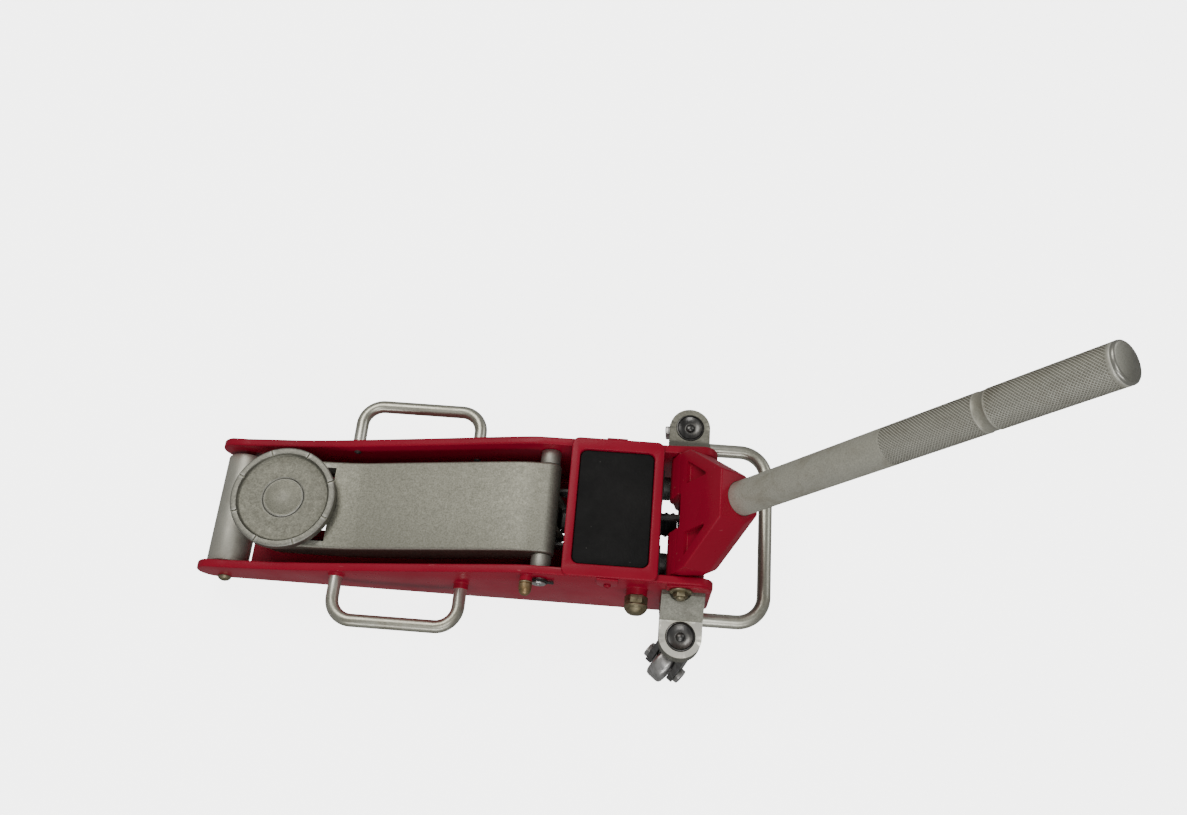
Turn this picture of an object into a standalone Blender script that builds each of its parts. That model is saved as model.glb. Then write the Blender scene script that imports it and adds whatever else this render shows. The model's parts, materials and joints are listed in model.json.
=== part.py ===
"""Low-profile hydraulic floor jack: every separate piece as its own closed solid.

The jack stands on the floor plane Z = 0 with its mid-plane on Y = 0.  The saddle
end points to -X and the pump handle to +X.  "Left" is the -Y side.  Sizes below are
in millimetres and are turned into metres where the shapes are made.
"""
from math import acos, atan2, cos, hypot, pi, radians, sin

import bmesh
import bpy
from mathutils import Matrix, Vector

MM = 0.001
GAP = 0.3                       # clearance between touching pieces
FIT = 0.35                      # radial clearance of a pin in its hole

# --- driving dimensions, X measured from the front roller's axle ----------------------
AXLE_X = -334.5                 # front roller's axle, in the object's frame
ROLLER_R = 19.5
ROLLER_HALF = 54.0

PLATE_OUT = 65.0                # half the width over the side plates
PLATE_T = 7.5
PLATE_IN = PLATE_OUT - PLATE_T
PLATE_BOTTOM = 14.0
FLANGE_IN = 12.0                # inner edge of the plate's bottom flange
FLANGE_T = 5.0

PIVOT = (305.2, 90.5)           # lift arm's pivot (x, z)
PIVOT_SHAFT_R = 6.5
BARREL_R = 11.0
COLLAR_R = 9.2
ARM_HALF = 43.0
ARM_WALL = 6.5
SADDLE_PIN = (57.6, 48.0)
SADDLE_PIN_R = 6.2
ROD_OFFSET = (-9.6, -19.8)      # from the arm's pivots to the levelling rods' pivots
ROD_R = 3.2
ROD_Y = 31.5
HEEL_PIN = (312.3, 57.2)
HEEL_PIN_R = 6.0

SADDLE_R = 48.8
SADDLE_TOP = 76.0
SADDLE_BOTTOM = 64.9
CAP_R = 18.8

COVER_X = (325.0, 409.5)
COVER_TOP = 114.0
PLATE_TOP_REAR = 110.0
TAIL_ARC = (445.0, 96.0)        # centre of the plate's upper rear corner

RAM_Z = 63.0
RAM_R = 8.0
RAM_FACE_X = 318.9
PLUNGER_Z = 75.0

YOKE = (431.0, 95.5)            # handle yoke's pivot (x, z)
HANDLE_LEAN = 35.0              # degrees from upright, towards +X
HANDLE_R = 15.0
HANDLE_FROM, HANDLE_TO = 40.0, 429.0
PUSH_PIN_DROP = 20.5

STEM = (433.9, 101.2)           # caster swivel axis (x, half track)
LUG_TOP, LUG_BOTTOM = 69.0, 52.0
LUG_R = 19.3
CROWN_BOTTOM = 43.5             # underside of a caster fork's crown
CASTER_R = 18.0
CASTER_TRAIL = 17.0
LEFT_TRAIL_DEG = -128.5         # way the left caster trails, from +X
RIGHT_TRAIL_DEG = 95.5

TUBE_R = 6.35                   # rear handle's tube
TUBE_Y, TUBE_Z, TUBE_BAR_X = 82.6, 61.5, 508.0
GRIP_R = 6.0                    # side handles' tube
GRIP_X = (115.6, 231.7)
GRIP_Y = 106.4
GRIP_Z = 56.0

SPRING_Y = 19.0
BOLT_X, BOLT_Z = 392.5, 82.0    # bolts that hold the pump body
STUD_X, STUD_Z = 294.5, 100.7
TAB_SCREW = (366.0, 96.0)       # cover's side screws (x, z)

FRONT_BOSS_Y = 67.2             # how far out each boss on a side plate reaches
REAR_BOSS_Y = 70.5
STUD_BOSS_Y = 70.5
BOLT_BOSS_Y = {-1: 71.5, 1: 67.2}
YOKE_PAD_Y = 66.6
TAB_OUT = 67.2                  # outer face of the cover's side tabs

ROUND = 16                      # sides of a round piece that shows

for old in list(bpy.data.objects):
    bpy.data.objects.remove(old, do_unlink=True)
parts = bpy.data.collections.new("floor_jack")
cutters = bpy.data.collections.new("cutters")
bpy.context.scene.collection.children.link(parts)
bpy.context.scene.collection.children.link(cutters)


def finish_of(name, colour, roughness, metallic):
    """One Principled material of the object."""
    material = bpy.data.materials.new(name)
    material.use_nodes = True
    shader = material.node_tree.nodes["Principled BSDF"]
    shader.inputs["Base Color"].default_value = (*colour, 1.0)
    shader.inputs["Roughness"].default_value = roughness
    shader.inputs["Metallic"].default_value = metallic
    return material


RED = finish_of("red_paint", (0.26, 0.008, 0.018), 0.32, 0.0)
CAST = finish_of("cast_aluminium", (0.42, 0.41, 0.38), 0.5, 1.0)
TUBE = finish_of("satin_tube", (0.5, 0.48, 0.44), 0.35, 1.0)
STEEL = finish_of("plain_steel", (0.36, 0.35, 0.33), 0.4, 1.0)
ZINC = finish_of("yellow_zinc", (0.32, 0.28, 0.19), 0.5, 1.0)
RUBBER = finish_of("black_rubber", (0.02, 0.02, 0.02), 0.8, 0.0)
IRON = finish_of("dark_cast_iron", (0.09, 0.085, 0.08), 0.6, 0.6)


# --- making shapes ------------------------------------------------------------------
def world(x, y, z):
    """A point given from the front axle, in mm, as a point of the object in metres."""
    return Vector(((AXLE_X + x) * MM, y * MM, z * MM))


def add(name, mesh, material, collection=parts):
    """Links a mesh as an object; a cutter is shown as wire only."""
    obj = bpy.data.objects.new(name, mesh)
    collection.objects.link(obj)
    if material:
        mesh.materials.append(material)
    if collection is cutters:
        obj.hide_render = True
        obj.display_type = "WIRE"
    return obj


def smooth(obj, degrees=35.0):
    obj.data.shade_smooth()
    obj.data.set_sharp_from_angle(angle=radians(degrees))


def box(name, low, high, material=None, collection=parts, bevel=0.0):
    """A box between two corners in mm, from the front axle."""
    bm = bmesh.new()
    bmesh.ops.create_cube(bm, size=1.0)
    size = [(b - a) * MM for a, b in zip(low, high)]
    bmesh.ops.scale(bm, vec=size, verts=bm.verts)
    mesh = bpy.data.meshes.new(name)
    bm.to_mesh(mesh)
    bm.free()
    obj = add(name, mesh, material, collection)
    obj.location = world(*[(a + b) / 2 for a, b in zip(low, high)])
    if bevel:
        soften(obj, bevel)
    return obj


def soften(obj, width, segments=1, angle=30.0):
    """Rounds the edges sharper than the angle."""
    mod = obj.modifiers.new("soft_edges", "BEVEL")
    mod.width = width * MM
    mod.segments = segments
    mod.limit_method = "ANGLE"
    mod.angle_limit = radians(angle)
    return obj


def rod(name, start, end, radius, material=None, collection=parts, sides=ROUND):
    """A plain cylinder between two points in mm."""
    a, b = world(*start), world(*end)
    bm = bmesh.new()
    bmesh.ops.create_cone(bm, cap_ends=True, segments=sides, radius1=radius * MM,
                          radius2=radius * MM, depth=(b - a).length)
    mesh = bpy.data.meshes.new(name)
    bm.to_mesh(mesh)
    bm.free()
    obj = add(name, mesh, material, collection)
    turn = (b - a).to_track_quat("Z", "Y").to_matrix().to_4x4()
    obj.matrix_world = Matrix.Translation((a + b) / 2) @ turn
    smooth(obj)
    return obj


def turned(name, profile, base, axis, material=None, collection=parts, steps=ROUND):
    """A solid turned from (radius, height) points, top to bottom down its outer side.

    base is the point at height 0 and axis the way the heights grow.
    """
    bm = bmesh.new()
    verts = [bm.verts.new((r * MM, 0.0, h * MM)) for r, h in profile]
    for a, b in zip(verts, verts[1:]):
        bm.edges.new((a, b))
    if profile[0][0] > 0:
        bm.edges.new((verts[-1], verts[0]))
    mesh = bpy.data.meshes.new(name)
    bm.to_mesh(mesh)
    bm.free()
    obj = add(name, mesh, material, collection)
    mod = obj.modifiers.new("turned", "SCREW")
    mod.axis = "Z"
    mod.angle = 2 * pi
    mod.steps = mod.render_steps = steps
    mod.use_merge_vertices = True
    mod.merge_threshold = 0.00001
    mod.use_smooth_shade = True
    turn = Vector(axis).to_track_quat("Z", "Y").to_matrix().to_4x4()
    obj.matrix_world = Matrix.Translation(world(*base)) @ turn
    return obj


def as_mesh(curve_obj, name, material, collection):
    """Replaces a curve object by a welded mesh object of the same shape."""
    bpy.context.view_layer.update()
    graph = bpy.context.evaluated_depsgraph_get()
    mesh = bpy.data.meshes.new_from_object(curve_obj.evaluated_get(graph))
    placed = curve_obj.matrix_world.copy()
    bm = bmesh.new()
    bm.from_mesh(mesh)
    bmesh.ops.remove_doubles(bm, verts=bm.verts, dist=0.00001)
    bmesh.ops.recalc_face_normals(bm, faces=bm.faces)
    bm.to_mesh(mesh)
    bm.free()
    bpy.data.objects.remove(curve_obj, do_unlink=True)
    mesh.materials.clear()
    obj = add(name, mesh, material, collection)
    obj.matrix_world = placed
    return obj


def flat(name, points, low, high, material=None, collection=parts, plane="XZ"):
    """A flat outline extruded from low to high along the plane's normal.

    XZ outlines run from y = low to y = high, YZ ones along x, XY ones along z.
    """
    curve = bpy.data.curves.new(name, "CURVE")
    curve.dimensions = "2D"
    curve.fill_mode = "BOTH"
    curve.extrude = (high - low) / 2 * MM
    spline = curve.splines.new("POLY")
    spline.points.add(len(points) - 1)
    for point, (u, v) in zip(spline.points, points):
        point.co = (u * MM, v * MM, 0.0, 1.0)
    spline.use_cyclic_u = True
    obj = bpy.data.objects.new(name, curve)
    bpy.context.scene.collection.objects.link(obj)
    middle = (low + high) / 2
    columns = {"XZ": ((1, 0, 0), (0, 0, 1), (0, -1, 0)),
               "YZ": ((0, 1, 0), (0, 0, 1), (1, 0, 0)),
               "XY": ((1, 0, 0), (0, 1, 0), (0, 0, 1))}[plane]
    origin = {"XZ": world(0, middle, 0), "YZ": world(middle, 0, 0), "XY": world(0, 0, middle)}[plane]
    turn = Matrix(columns).transposed().to_4x4()
    obj.matrix_world = Matrix.Translation(origin) @ turn
    return as_mesh(obj, name, material, collection)


def bent_tube(name, points, radius, corner, material, sides=3, arc_steps=5):
    """A round tube along straight runs whose corners are bent to one radius."""
    path = rounded_path([Vector(p) for p in points], corner, arc_steps)
    curve = bpy.data.curves.new(name, "CURVE")
    curve.dimensions = "3D"
    curve.bevel_depth = radius * MM
    curve.bevel_resolution = sides
    curve.use_fill_caps = True
    spline = curve.splines.new("POLY")
    spline.points.add(len(path) - 1)
    for point, place in zip(spline.points, path):
        point.co = (*world(*place), 1.0)
    obj = bpy.data.objects.new(name, curve)
    bpy.context.scene.collection.objects.link(obj)
    made = as_mesh(obj, name, material, parts)
    smooth(made)
    return made


def rounded_path(points, corner, steps):
    """Points of a path whose inner corners are arcs of the given radius."""
    path = [points[0]]
    for before, at, after in zip(points, points[1:], points[2:]):
        back, ahead = (before - at).normalized(), (after - at).normalized()
        half = back.angle(ahead) / 2
        centre = at + (back + ahead).normalized() * (corner / sin(half))
        start = at + back * (corner / (sin(half) / cos(half)))
        finish = at + ahead * (corner / (sin(half) / cos(half)))
        first, last = start - centre, finish - centre
        sweep = first.angle(last)
        for i in range(steps + 1):
            t = i / steps
            arm = (first * sin((1 - t) * sweep) + last * sin(t * sweep)) / sin(sweep)
            path.append(centre + arm)
    path.append(points[-1])
    return path


def arc(centre, radius, start, end, steps):
    """Points on a circle from one angle to another, in degrees."""
    return [(centre[0] + radius * cos(radians(start + (end - start) * i / steps)),
             centre[1] + radius * sin(radians(start + (end - start) * i / steps)))
            for i in range(steps + 1)]


def capsule(a, ra, b, rb, steps=7):
    """Outline round two circles joined by their outer tangents."""
    dx, dz = b[0] - a[0], b[1] - a[1]
    along = atan2(dz, dx) * 180 / pi
    lean = acos((ra - rb) / hypot(dx, dz)) * 180 / pi
    return (arc(a, ra, along + lean, along + 360 - lean, steps)
            + arc(b, rb, along - lean, along + lean, steps))


def rounded_rectangle(low, high, radius, steps=4):
    (x0, y0), (x1, y1) = low, high
    corners = (((x1 - radius, y1 - radius), 0), ((x0 + radius, y1 - radius), 90),
               ((x0 + radius, y0 + radius), 180), ((x1 - radius, y0 + radius), 270))
    points = []
    for centre, start in corners:
        points += arc(centre, radius, start, start + 90, steps)
    return points


def combine(obj, others, operation):
    for other in others:
        mod = obj.modifiers.new(other.name, "BOOLEAN")
        mod.operation = operation
        mod.solver = "EXACT"
        mod.object = other
    return obj


def cut(obj, *others):
    return combine(obj, others, "DIFFERENCE")


def join(obj, *others):
    return combine(obj, others, "UNION")


def hole(name, start, end, radius, sides=16):
    return rod(name, start, end, radius, None, cutters, sides)


def side_name(side):
    return "left" if side < 0 else "right"


def xz(point, y):
    return (point[0], y, point[1])


# --- frame --------------------------------------------------------------------------
def plate_outline():
    """Side plate seen from the side: low rounded nose, rising back, rounded tail."""
    nose = arc((-3.0, 33.0), 19.0, 250, 110, 8)
    rise = [(30, 54.0), (60, 57.5), (90, 63.0), (120, 69.5), (180, 83.5), (240, 98.0), (285, 108.5)]
    tail = arc(TAIL_ARC, 14.0, 90, 0, 5)
    foot = arc((449.0, 36.0), 10.0, 0, -70, 4)
    underside = [(420, PLATE_BOTTOM), (10, PLATE_BOTTOM)]
    return nose + rise + [(300, PLATE_TOP_REAR)] + tail + foot + underside


def side_plate(side):
    """One pressed side plate with its inner bottom flange, pads and bosses."""
    label = side_name(side)
    low, high = sorted((side * FLANGE_IN, side * PLATE_OUT))
    plate = flat(label + "_side_plate", plate_outline(), low, high, RED)
    soften(plate, 1.6)
    inner = sorted((side * (FLANGE_IN - 5), side * PLATE_IN))
    spaces = {"web": (-60, 520, PLATE_BOTTOM + FLANGE_T), "nose": (-60, 21.5, 0), "tail": (412, 520, 0)}
    for use, (start, end, floor) in spaces.items():
        cut(plate, box(f"{label}_{use}_space", (start, inner[0], floor), (end, inner[1], 150), None, cutters))
    out = side * (PLATE_OUT - 1)
    pad = [(418, 91.5), (418, 106)] + arc(TAIL_ARC, 12.5, 90, 0, 5) + [(457.5, 91.5)]
    grown = [flat(label + "_yoke_pad", pad, *sorted((out, side * YOKE_PAD_Y)), None, cutters)]
    bosses = {"rear": ((GRIP_X[1], GRIP_Z), REAR_BOSS_Y, 6.8),
              "front": ((GRIP_X[0], GRIP_Z), FRONT_BOSS_Y, 7.6),
              "bolt": ((BOLT_X, BOLT_Z), BOLT_BOSS_Y[side], 9.5)}
    if side < 0:
        bosses["stud"] = ((STUD_X, STUD_Z), STUD_BOSS_Y, 5.6)
    for use, (centre, reach, radius) in bosses.items():
        ends = xz(centre, out), xz(centre, side * reach)
        grown.append(rod(f"{label}_{use}_boss", *ends, radius, None, cutters))
    join(plate, *grown)
    inside, outside = side * (PLATE_IN - 2), side * 90
    bores = {"axle": ((0, ROLLER_R), 5.0), "pivot": (PIVOT, PIVOT_SHAFT_R), "bolt": ((BOLT_X, BOLT_Z), 6.0),
             "yoke": (YOKE, 5.0), "grip_front": ((GRIP_X[0], GRIP_Z), 3.5),
             "grip_rear": ((GRIP_X[1], GRIP_Z), 3.5)}
    if side < 0:
        bores["stud"] = ((STUD_X, STUD_Z), 3.5)
    for use, (centre, radius) in bores.items():
        bore = hole(label + "_" + use + "_bore", xz(centre, inside), xz(centre, outside), radius + FIT)
        cut(plate, bore)
    return plate


def domed(radius, height, steps=3):
    """Rim to crown of a low dome, as (radius, height) points from the rim upwards."""
    angles = [radians(90 * i / steps) for i in range(steps)]
    return [(radius * cos(a), height * sin(a)) for a in angles] + [(0.0, height)]


def front_axle():
    """Axle rod with a domed head on the left and a domed nut on the right."""
    length = 2 * PLATE_OUT + 3
    profile = list(reversed(domed(6.3, 4.2))) + [(5.0, 0.0), (5.0, -length), (0.0, -length)]
    turned("front_axle", profile, (0, -PLATE_OUT - GAP, ROLLER_R), (0, -1, 0), ZINC)
    ends = (0, PLATE_OUT + GAP, ROLLER_R), (0, PLATE_OUT + 5.2, ROLLER_R)
    nut = rod("front_axle_nut", *ends, 7.6, ZINC, parts, 6)
    cut(nut, hole("axle_nut_bore", (0, 60, ROLLER_R), (0, 80, ROLLER_R), 5.0 + FIT))


def front_roller():
    """Full-width steel roller with eased ends, running on the axle."""
    r, h = ROLLER_R, ROLLER_HALF
    profile = [(r - 1.5, h), (r, h - 1.5), (r, -h + 1.5), (r - 1.5, -h), (5.0 + FIT, -h), (5.0 + FIT, h)]
    turned("front_roller", profile, (0, 0, ROLLER_R), (0, 1, 0), STEEL, steps=24)


def pivot_set():
    """Lift pivot shaft with its two collars and outer circlips."""
    half = PLATE_OUT + 4.5
    r = PIVOT_SHAFT_R
    groove = PLATE_OUT + 1.4
    upper = [(0.0, half), (r, half), (r, groove + 1.7), (r - 1.2, groove + 1.7), (r - 1.2, groove - 0.3),
             (r, groove - 0.3)]
    profile = upper + [(radius, -height) for radius, height in reversed(upper)]
    turned("lift_pivot_shaft", profile, xz(PIVOT, 0), (0, 1, 0), STEEL, steps=12)
    for side in (-1, 1):
        span = (ARM_HALF + 0.5, PLATE_IN - 0.5)
        c, b = COLLAR_R, PIVOT_SHAFT_R + FIT
        collar = [(c - 0.6, span[1]), (c, span[1] - 0.6), (c, span[0] + 0.6), (c - 0.6, span[0]),
                  (b, span[0]), (b, span[1])]
        turned(side_name(side) + "_pivot_collar", collar, xz(PIVOT, 0), (0, side, 0), CAST, steps=12)
        circlip(side, groove)


def circlip(side, at):
    """Open retaining ring in the shaft's groove, its two prongs pointing to the rear."""
    (x, z), inner, outer = PIVOT, PIVOT_SHAFT_R - 1.2 + 0.6, 8.7
    points = arc(PIVOT, outer, 20, 340, 12) + [(x + 13.5, z - 3.6), (x + 13.5, z - 1.0)]
    points += arc(PIVOT, inner, 350, 10, 9) + [(x + 13.5, z + 1.0), (x + 13.5, z + 3.6)]
    flat(side_name(side) + "_pivot_circlip", points, *sorted((side * (at + 0.1), side * (at + 1.3))), IRON)


def cover_set():
    """Tray over the pump: rim on the plates, side tabs with screws, inset rubber pad."""
    x0, x1 = COVER_X
    half = PLATE_OUT + 0.4
    rim = rounded_rectangle((x0, -half), (x1, half), 7.0)
    tray = flat("cover", rim, PLATE_TOP_REAR + GAP, COVER_TOP, RED, plane="XY")
    inside = PLATE_IN - 1
    pan = box("cover_pan", (x0 + 5, -inside, 104), (x1 - 4, inside, COVER_TOP - 2), None, cutters)
    grown = [pan]
    drilled = []
    for side in (-1, 1):
        tab = [(356.5, 112), (356.5, 99)] + arc((366.0, 99.0), 9.5, 180, 360, 8) + [(375.5, 112)]
        low, high = sorted((side * (PLATE_OUT + GAP), side * TAB_OUT))
        grown.append(flat(side_name(side) + "_cover_tab", tab, low, high, None, cutters))
        ends = xz(TAB_SCREW, side * 60), xz(TAB_SCREW, side * 72)
        drilled.append(hole(side_name(side) + "_tab_bore", *ends, 2.2 + FIT, 12))
    join(tray, *grown)
    recess = rounded_rectangle((333.0, -54.0), (401.0, 54.0), 6.5)
    cut(tray, flat("pad_recess", recess, 107.0, COVER_TOP + 5, None, cutters, "XY"), *drilled)
    pad = flat("cover_pad", rounded_rectangle((333.5, -53.5), (400.5, 53.5), 6.2), 107.4, 111.6,
               RUBBER, plane="XY")
    soften(pad, 0.8)
    for side in (-1, 1):
        profile = [(0.0, 2.0), (2.4, 1.7), (3.6, 0.0), (2.2, 0.0), (2.2, -1.6), (0.0, -1.6)]
        seat = xz(TAB_SCREW, side * (TAB_OUT + GAP))
        turned(side_name(side) + "_cover_screw", profile, seat, (0, side, 0), RED, steps=12)


def small_bolts():
    """Yoke pivot bolts, a hex head left and a low one right, and the left plate's domed stud."""
    hexed = [(0.0, 8.4), (5.2, 8.4), (6.4, 7.4), (6.4, 1.9), (10.2, 1.9), (10.2, 0.0), (5.0, 0.0),
             (5.0, -22.0), (0.0, -22.0)]
    low = [(0.0, 1.5), (6.0, 1.5), (7.2, 0.9), (7.2, 0.0), (5.0, 0.0), (5.0, -22.0), (0.0, -22.0)]
    for side, head in ((-1, hexed), (1, low)):
        seat = xz(YOKE, side * (YOKE_PAD_Y + GAP))
        turned(side_name(side) + "_yoke_bolt", head, seat, (0, side, 0), ZINC, steps=12)
    dome = [(0.0, 12.4), (2.6, 12.0), (4.4, 10.6), (5.4, 8.4), (5.9, 5.5), (5.9, 0.0), (3.5, 0.0),
            (3.5, -13.0), (0.0, -13.0)]
    turned("left_stud", dome, (STUD_X, -STUD_BOSS_Y - GAP, STUD_Z), (0, -1, 0), ZINC, steps=12)


def side_grip(side):
    """D-shaped carrying handle with threaded ends through the plate."""
    front, rear = FRONT_BOSS_Y + GAP, REAR_BOSS_Y + GAP
    path = [(GRIP_X[0], side * front, GRIP_Z), (GRIP_X[0], side * GRIP_Y, GRIP_Z),
            (GRIP_X[1], side * GRIP_Y, GRIP_Z), (GRIP_X[1], side * rear, GRIP_Z)]
    grip = bent_tube(side_name(side) + "_side_handle", path, GRIP_R, 20.0, TUBE)
    for i, x in enumerate(GRIP_X):
        ends = (x, side * 53, GRIP_Z), (x, side * 84, GRIP_Z)
        join(grip, rod(f"{side_name(side)}_grip_end_{i}", *ends, 3.5, None, cutters, 12))


def rear_handle():
    """U-shaped rear handle held in the two caster brackets."""
    inside = STEM[0] - 6.0
    path = [(inside, -TUBE_Y, TUBE_Z), (TUBE_BAR_X, -TUBE_Y, TUBE_Z), (TUBE_BAR_X, TUBE_Y, TUBE_Z),
            (inside, TUBE_Y, TUBE_Z)]
    bent_tube("rear_handle", path, TUBE_R, 25.0, TUBE)


# --- casters ------------------------------------------------------------------------
def caster_bracket(side):
    """Cast bracket on the plate: sloped shoulder, flat lug with a round end."""
    label = side_name(side)
    face = PLATE_OUT + GAP
    section = [(face, 40), (face, 90), (face + 4.0, 90), (86, LUG_TOP), (STEM[1], LUG_TOP),
               (STEM[1], LUG_BOTTOM), (79, LUG_BOTTOM), (73, 40)]
    section = [(side * y, z) for y, z in section]
    body = flat(label + "_caster_bracket", section, STEM[0] - LUG_R, STEM[0] + LUG_R, CAST, plane="YZ")
    x, y = STEM[0], side * STEM[1]
    join(body, rod(label + "_lug_end", (x, y, LUG_BOTTOM), (x, y, LUG_TOP), LUG_R, None, cutters, 28))
    tube = (x - 6.6, side * TUBE_Y, TUBE_Z), (x + 30, side * TUBE_Y, TUBE_Z)
    cut(body, hole(label + "_stem_bore", (x, y, 40), (x, y, 80), 5.0 + FIT),
        hole(label + "_dish", (x, y, LUG_TOP - 2.2), (x, y, 80), 13.4, 24),
        hole(label + "_tube_bore", *tube, TUBE_R + FIT),
        hole(label + "_bolt_relief", xz(YOKE, side * 66.5), xz(YOKE, side * 90), 11.0))


def stem_bolt(side):
    """Swivel bolt: dished washer head with a ball centre, shank and nut below the fork."""
    top = LUG_TOP - 1.9
    seat = CROWN_BOTTOM - top
    profile = [(0.0, 2.6), (2.2, 2.2), (3.6, 0.9), (4.2, 0.5), (8.0, 1.0), (11.5, 2.6), (12.6, 2.9),
               (13.0, 2.2), (13.0, 0.0), (5.0, 0.0), (5.0, seat - GAP), (7.6, seat - GAP),
               (7.6, seat - 5.0), (0.0, seat - 5.0)]
    turned(side_name(side) + "_stem_bolt", profile, (STEM[0], side * STEM[1], top), (0, 0, 1), ZINC)


def caster(side, trail_deg):
    """Swivel fork with its wheel and axle bolt, trailing to the given side."""
    label = side_name(side)
    turn = Matrix.Rotation(radians(trail_deg), 4, "Z")
    pivot = Matrix.Translation(world(STEM[0], side * STEM[1], 0)) @ turn
    home = Matrix.Translation(world(0, 0, 0)).inverted()
    top, bottom = LUG_BOTTOM - GAP, CROWN_BOTTOM
    crown = rod(label + "_caster_fork", (0, 0, bottom), (0, 0, top), 13.0, CAST)
    spread = box(label + "_fork_spread", (-9, -15.5, bottom), (13, 15.5, top - 0.6), None, cutters)
    pieces = [crown, spread]
    legs = []
    for way in (-1, 1):
        low, high = sorted((way * 10.0, way * 15.5))
        shape = capsule((3.0, 44.0), 7.5, (CASTER_TRAIL, CASTER_R), 9.5, 6)
        legs.append(flat(f"{label}_fork_leg_{way}", shape, low, high, None, cutters))
    trim = box(label + "_fork_trim", (-30, -30, top), (40, 30, top + 20), None, cutters)
    shank = hole(label + "_crown_bore", (0, 0, 30), (0, 0, 60), 5.0 + FIT)
    hub = (CASTER_TRAIL, CASTER_R)
    axle_bore = hole(label + "_axle_bore", xz(hub, -30), xz(hub, 30), 4.0 + FIT, 16)
    join(crown, spread, *legs)
    cut(crown, trim, shank, axle_bore)
    r, h, b = CASTER_R, 8.2, 4.0 + FIT
    tread = [(r - 3.0, h), (r - 1.2, h - 0.9), (r, h - 2.8), (r, -h + 2.8), (r - 1.2, -h + 0.9),
             (r - 3.0, -h), (b, -h), (b, h)]
    wheel = turned(label + "_caster_wheel", tread, xz(hub, 0), (0, 1, 0), STEEL)
    half = 15.5 + GAP
    head = [(0.0, half + 4.5), (6.0, half + 4.5), (7.0, half + 3.8), (7.0, half), (4.0, half)]
    pin = head + [(radius, -height) for radius, height in reversed(head)]
    axle = turned(label + "_caster_axle", pin, xz(hub, 0), (0, 1, 0), STEEL, steps=12)
    for piece in pieces + legs + [trim, shank, axle_bore, wheel, axle]:
        piece.matrix_world = pivot @ home @ piece.matrix_world


# --- lift arm -----------------------------------------------------------------------
def arm_outline():
    """Side view of the arm: level nose over the saddle pin, then a rise to the barrel."""
    top = [(62, 60.0), (80, 62.2), (104, 63.6), (122, 65.6), (140, 69.2), (198, 82.6), (262, 97.2),
           (284, 101.0)]
    nose = arc(SADDLE_PIN, 12.0, 270, 95, 8)
    barrel = arc(PIVOT, BARREL_R, 95, -100, 9)
    under = [(262, 68.0), (200, 50.0), (125, 37.0)]
    return nose + top + barrel + under


def lift_arm():
    """Cast arm, open below and between its front rails, with barrel and heel lugs."""
    arm = flat("lift_arm", arm_outline(), -ARM_HALF, ARM_HALF, CAST)
    soften(arm, 2.0)
    inner = ARM_HALF - ARM_WALL
    ceiling = [(100, 57.8), (122, 59.6), (140, 63.2), (198, 76.6), (262, 91.0), (284, 94.8)]
    hollow = ([(20, 0), (20, 120), (100, 120)] + ceiling + arc(PIVOT, BARREL_R - 0.3, 165, 275, 6)
              + [(345, 79.5), (345, 0)])
    cut(arm, flat("arm_hollow", hollow, -inner, inner, None, cutters))
    lug = capsule(PIVOT, BARREL_R - 0.2, HEEL_PIN, 10.5)
    for side in (-1, 1):
        low, high = sorted((side * 12.8, side * 16.6))
        join(arm, flat(side_name(side) + "_heel_lug", lug, low, high, None, cutters))
    cut(arm, hole("arm_barrel_bore", xz(PIVOT, -60), xz(PIVOT, 60), PIVOT_SHAFT_R + FIT),
        hole("arm_pin_bore", xz(SADDLE_PIN, -60), xz(SADDLE_PIN, 60), SADDLE_PIN_R + GAP),
        hole("arm_heel_bore", xz(HEEL_PIN, -30), xz(HEEL_PIN, 30), HEEL_PIN_R + GAP))
    cross_pin("saddle_pin", SADDLE_PIN, SADDLE_PIN_R, 42.4)
    cross_pin("heel_pin", HEEL_PIN, HEEL_PIN_R, 22.0)


def cross_pin(name, at, radius, half, ease=0.8):
    """A plain pin across the jack with eased ends."""
    profile = [(0.0, half), (radius - ease, half), (radius, half - ease), (radius, ease - half),
               (radius - ease, -half), (0.0, -half)]
    return turned(name, profile, xz(at, 0), (0, 1, 0), STEEL, steps=12)


def shifted(point, offset=ROD_OFFSET):
    return (point[0] + offset[0], point[1] + offset[1])


def levelling_gear():
    """Two rods parallel to the arm that keep the saddle's carrier level."""
    front, rear = shifted(SADDLE_PIN), shifted(PIVOT)
    for side in (-1, 1):
        label = side_name(side)
        shape = capsule(front, 5.2, rear, 5.2, 6)
        low, high = sorted((side * (ROD_Y - 2.4), side * (ROD_Y + 2.4)))
        bar = flat(label + "_levelling_rod", shape, low, high, STEEL)
        cut(bar, hole(label + "_rod_front_bore", xz(front, side * 20), xz(front, side * 40), ROD_R + FIT, 16),
            hole(label + "_rod_rear_bore", xz(rear, side * 20), xz(rear, side * 40), ROD_R + FIT, 16))
        pin = [(0.0, 9.9), (5.0, 9.9), (5.0, 8.5), (ROD_R, 8.5), (ROD_R, 0.0), (0.0, 0.0)]
        turned(label + "_rod_pin", pin, xz(rear, side * 25.8), (0, side, 0), STEEL, steps=12)
    cross_pin("rod_front_pin", front, ROD_R, 35.4, 0.4)


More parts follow.
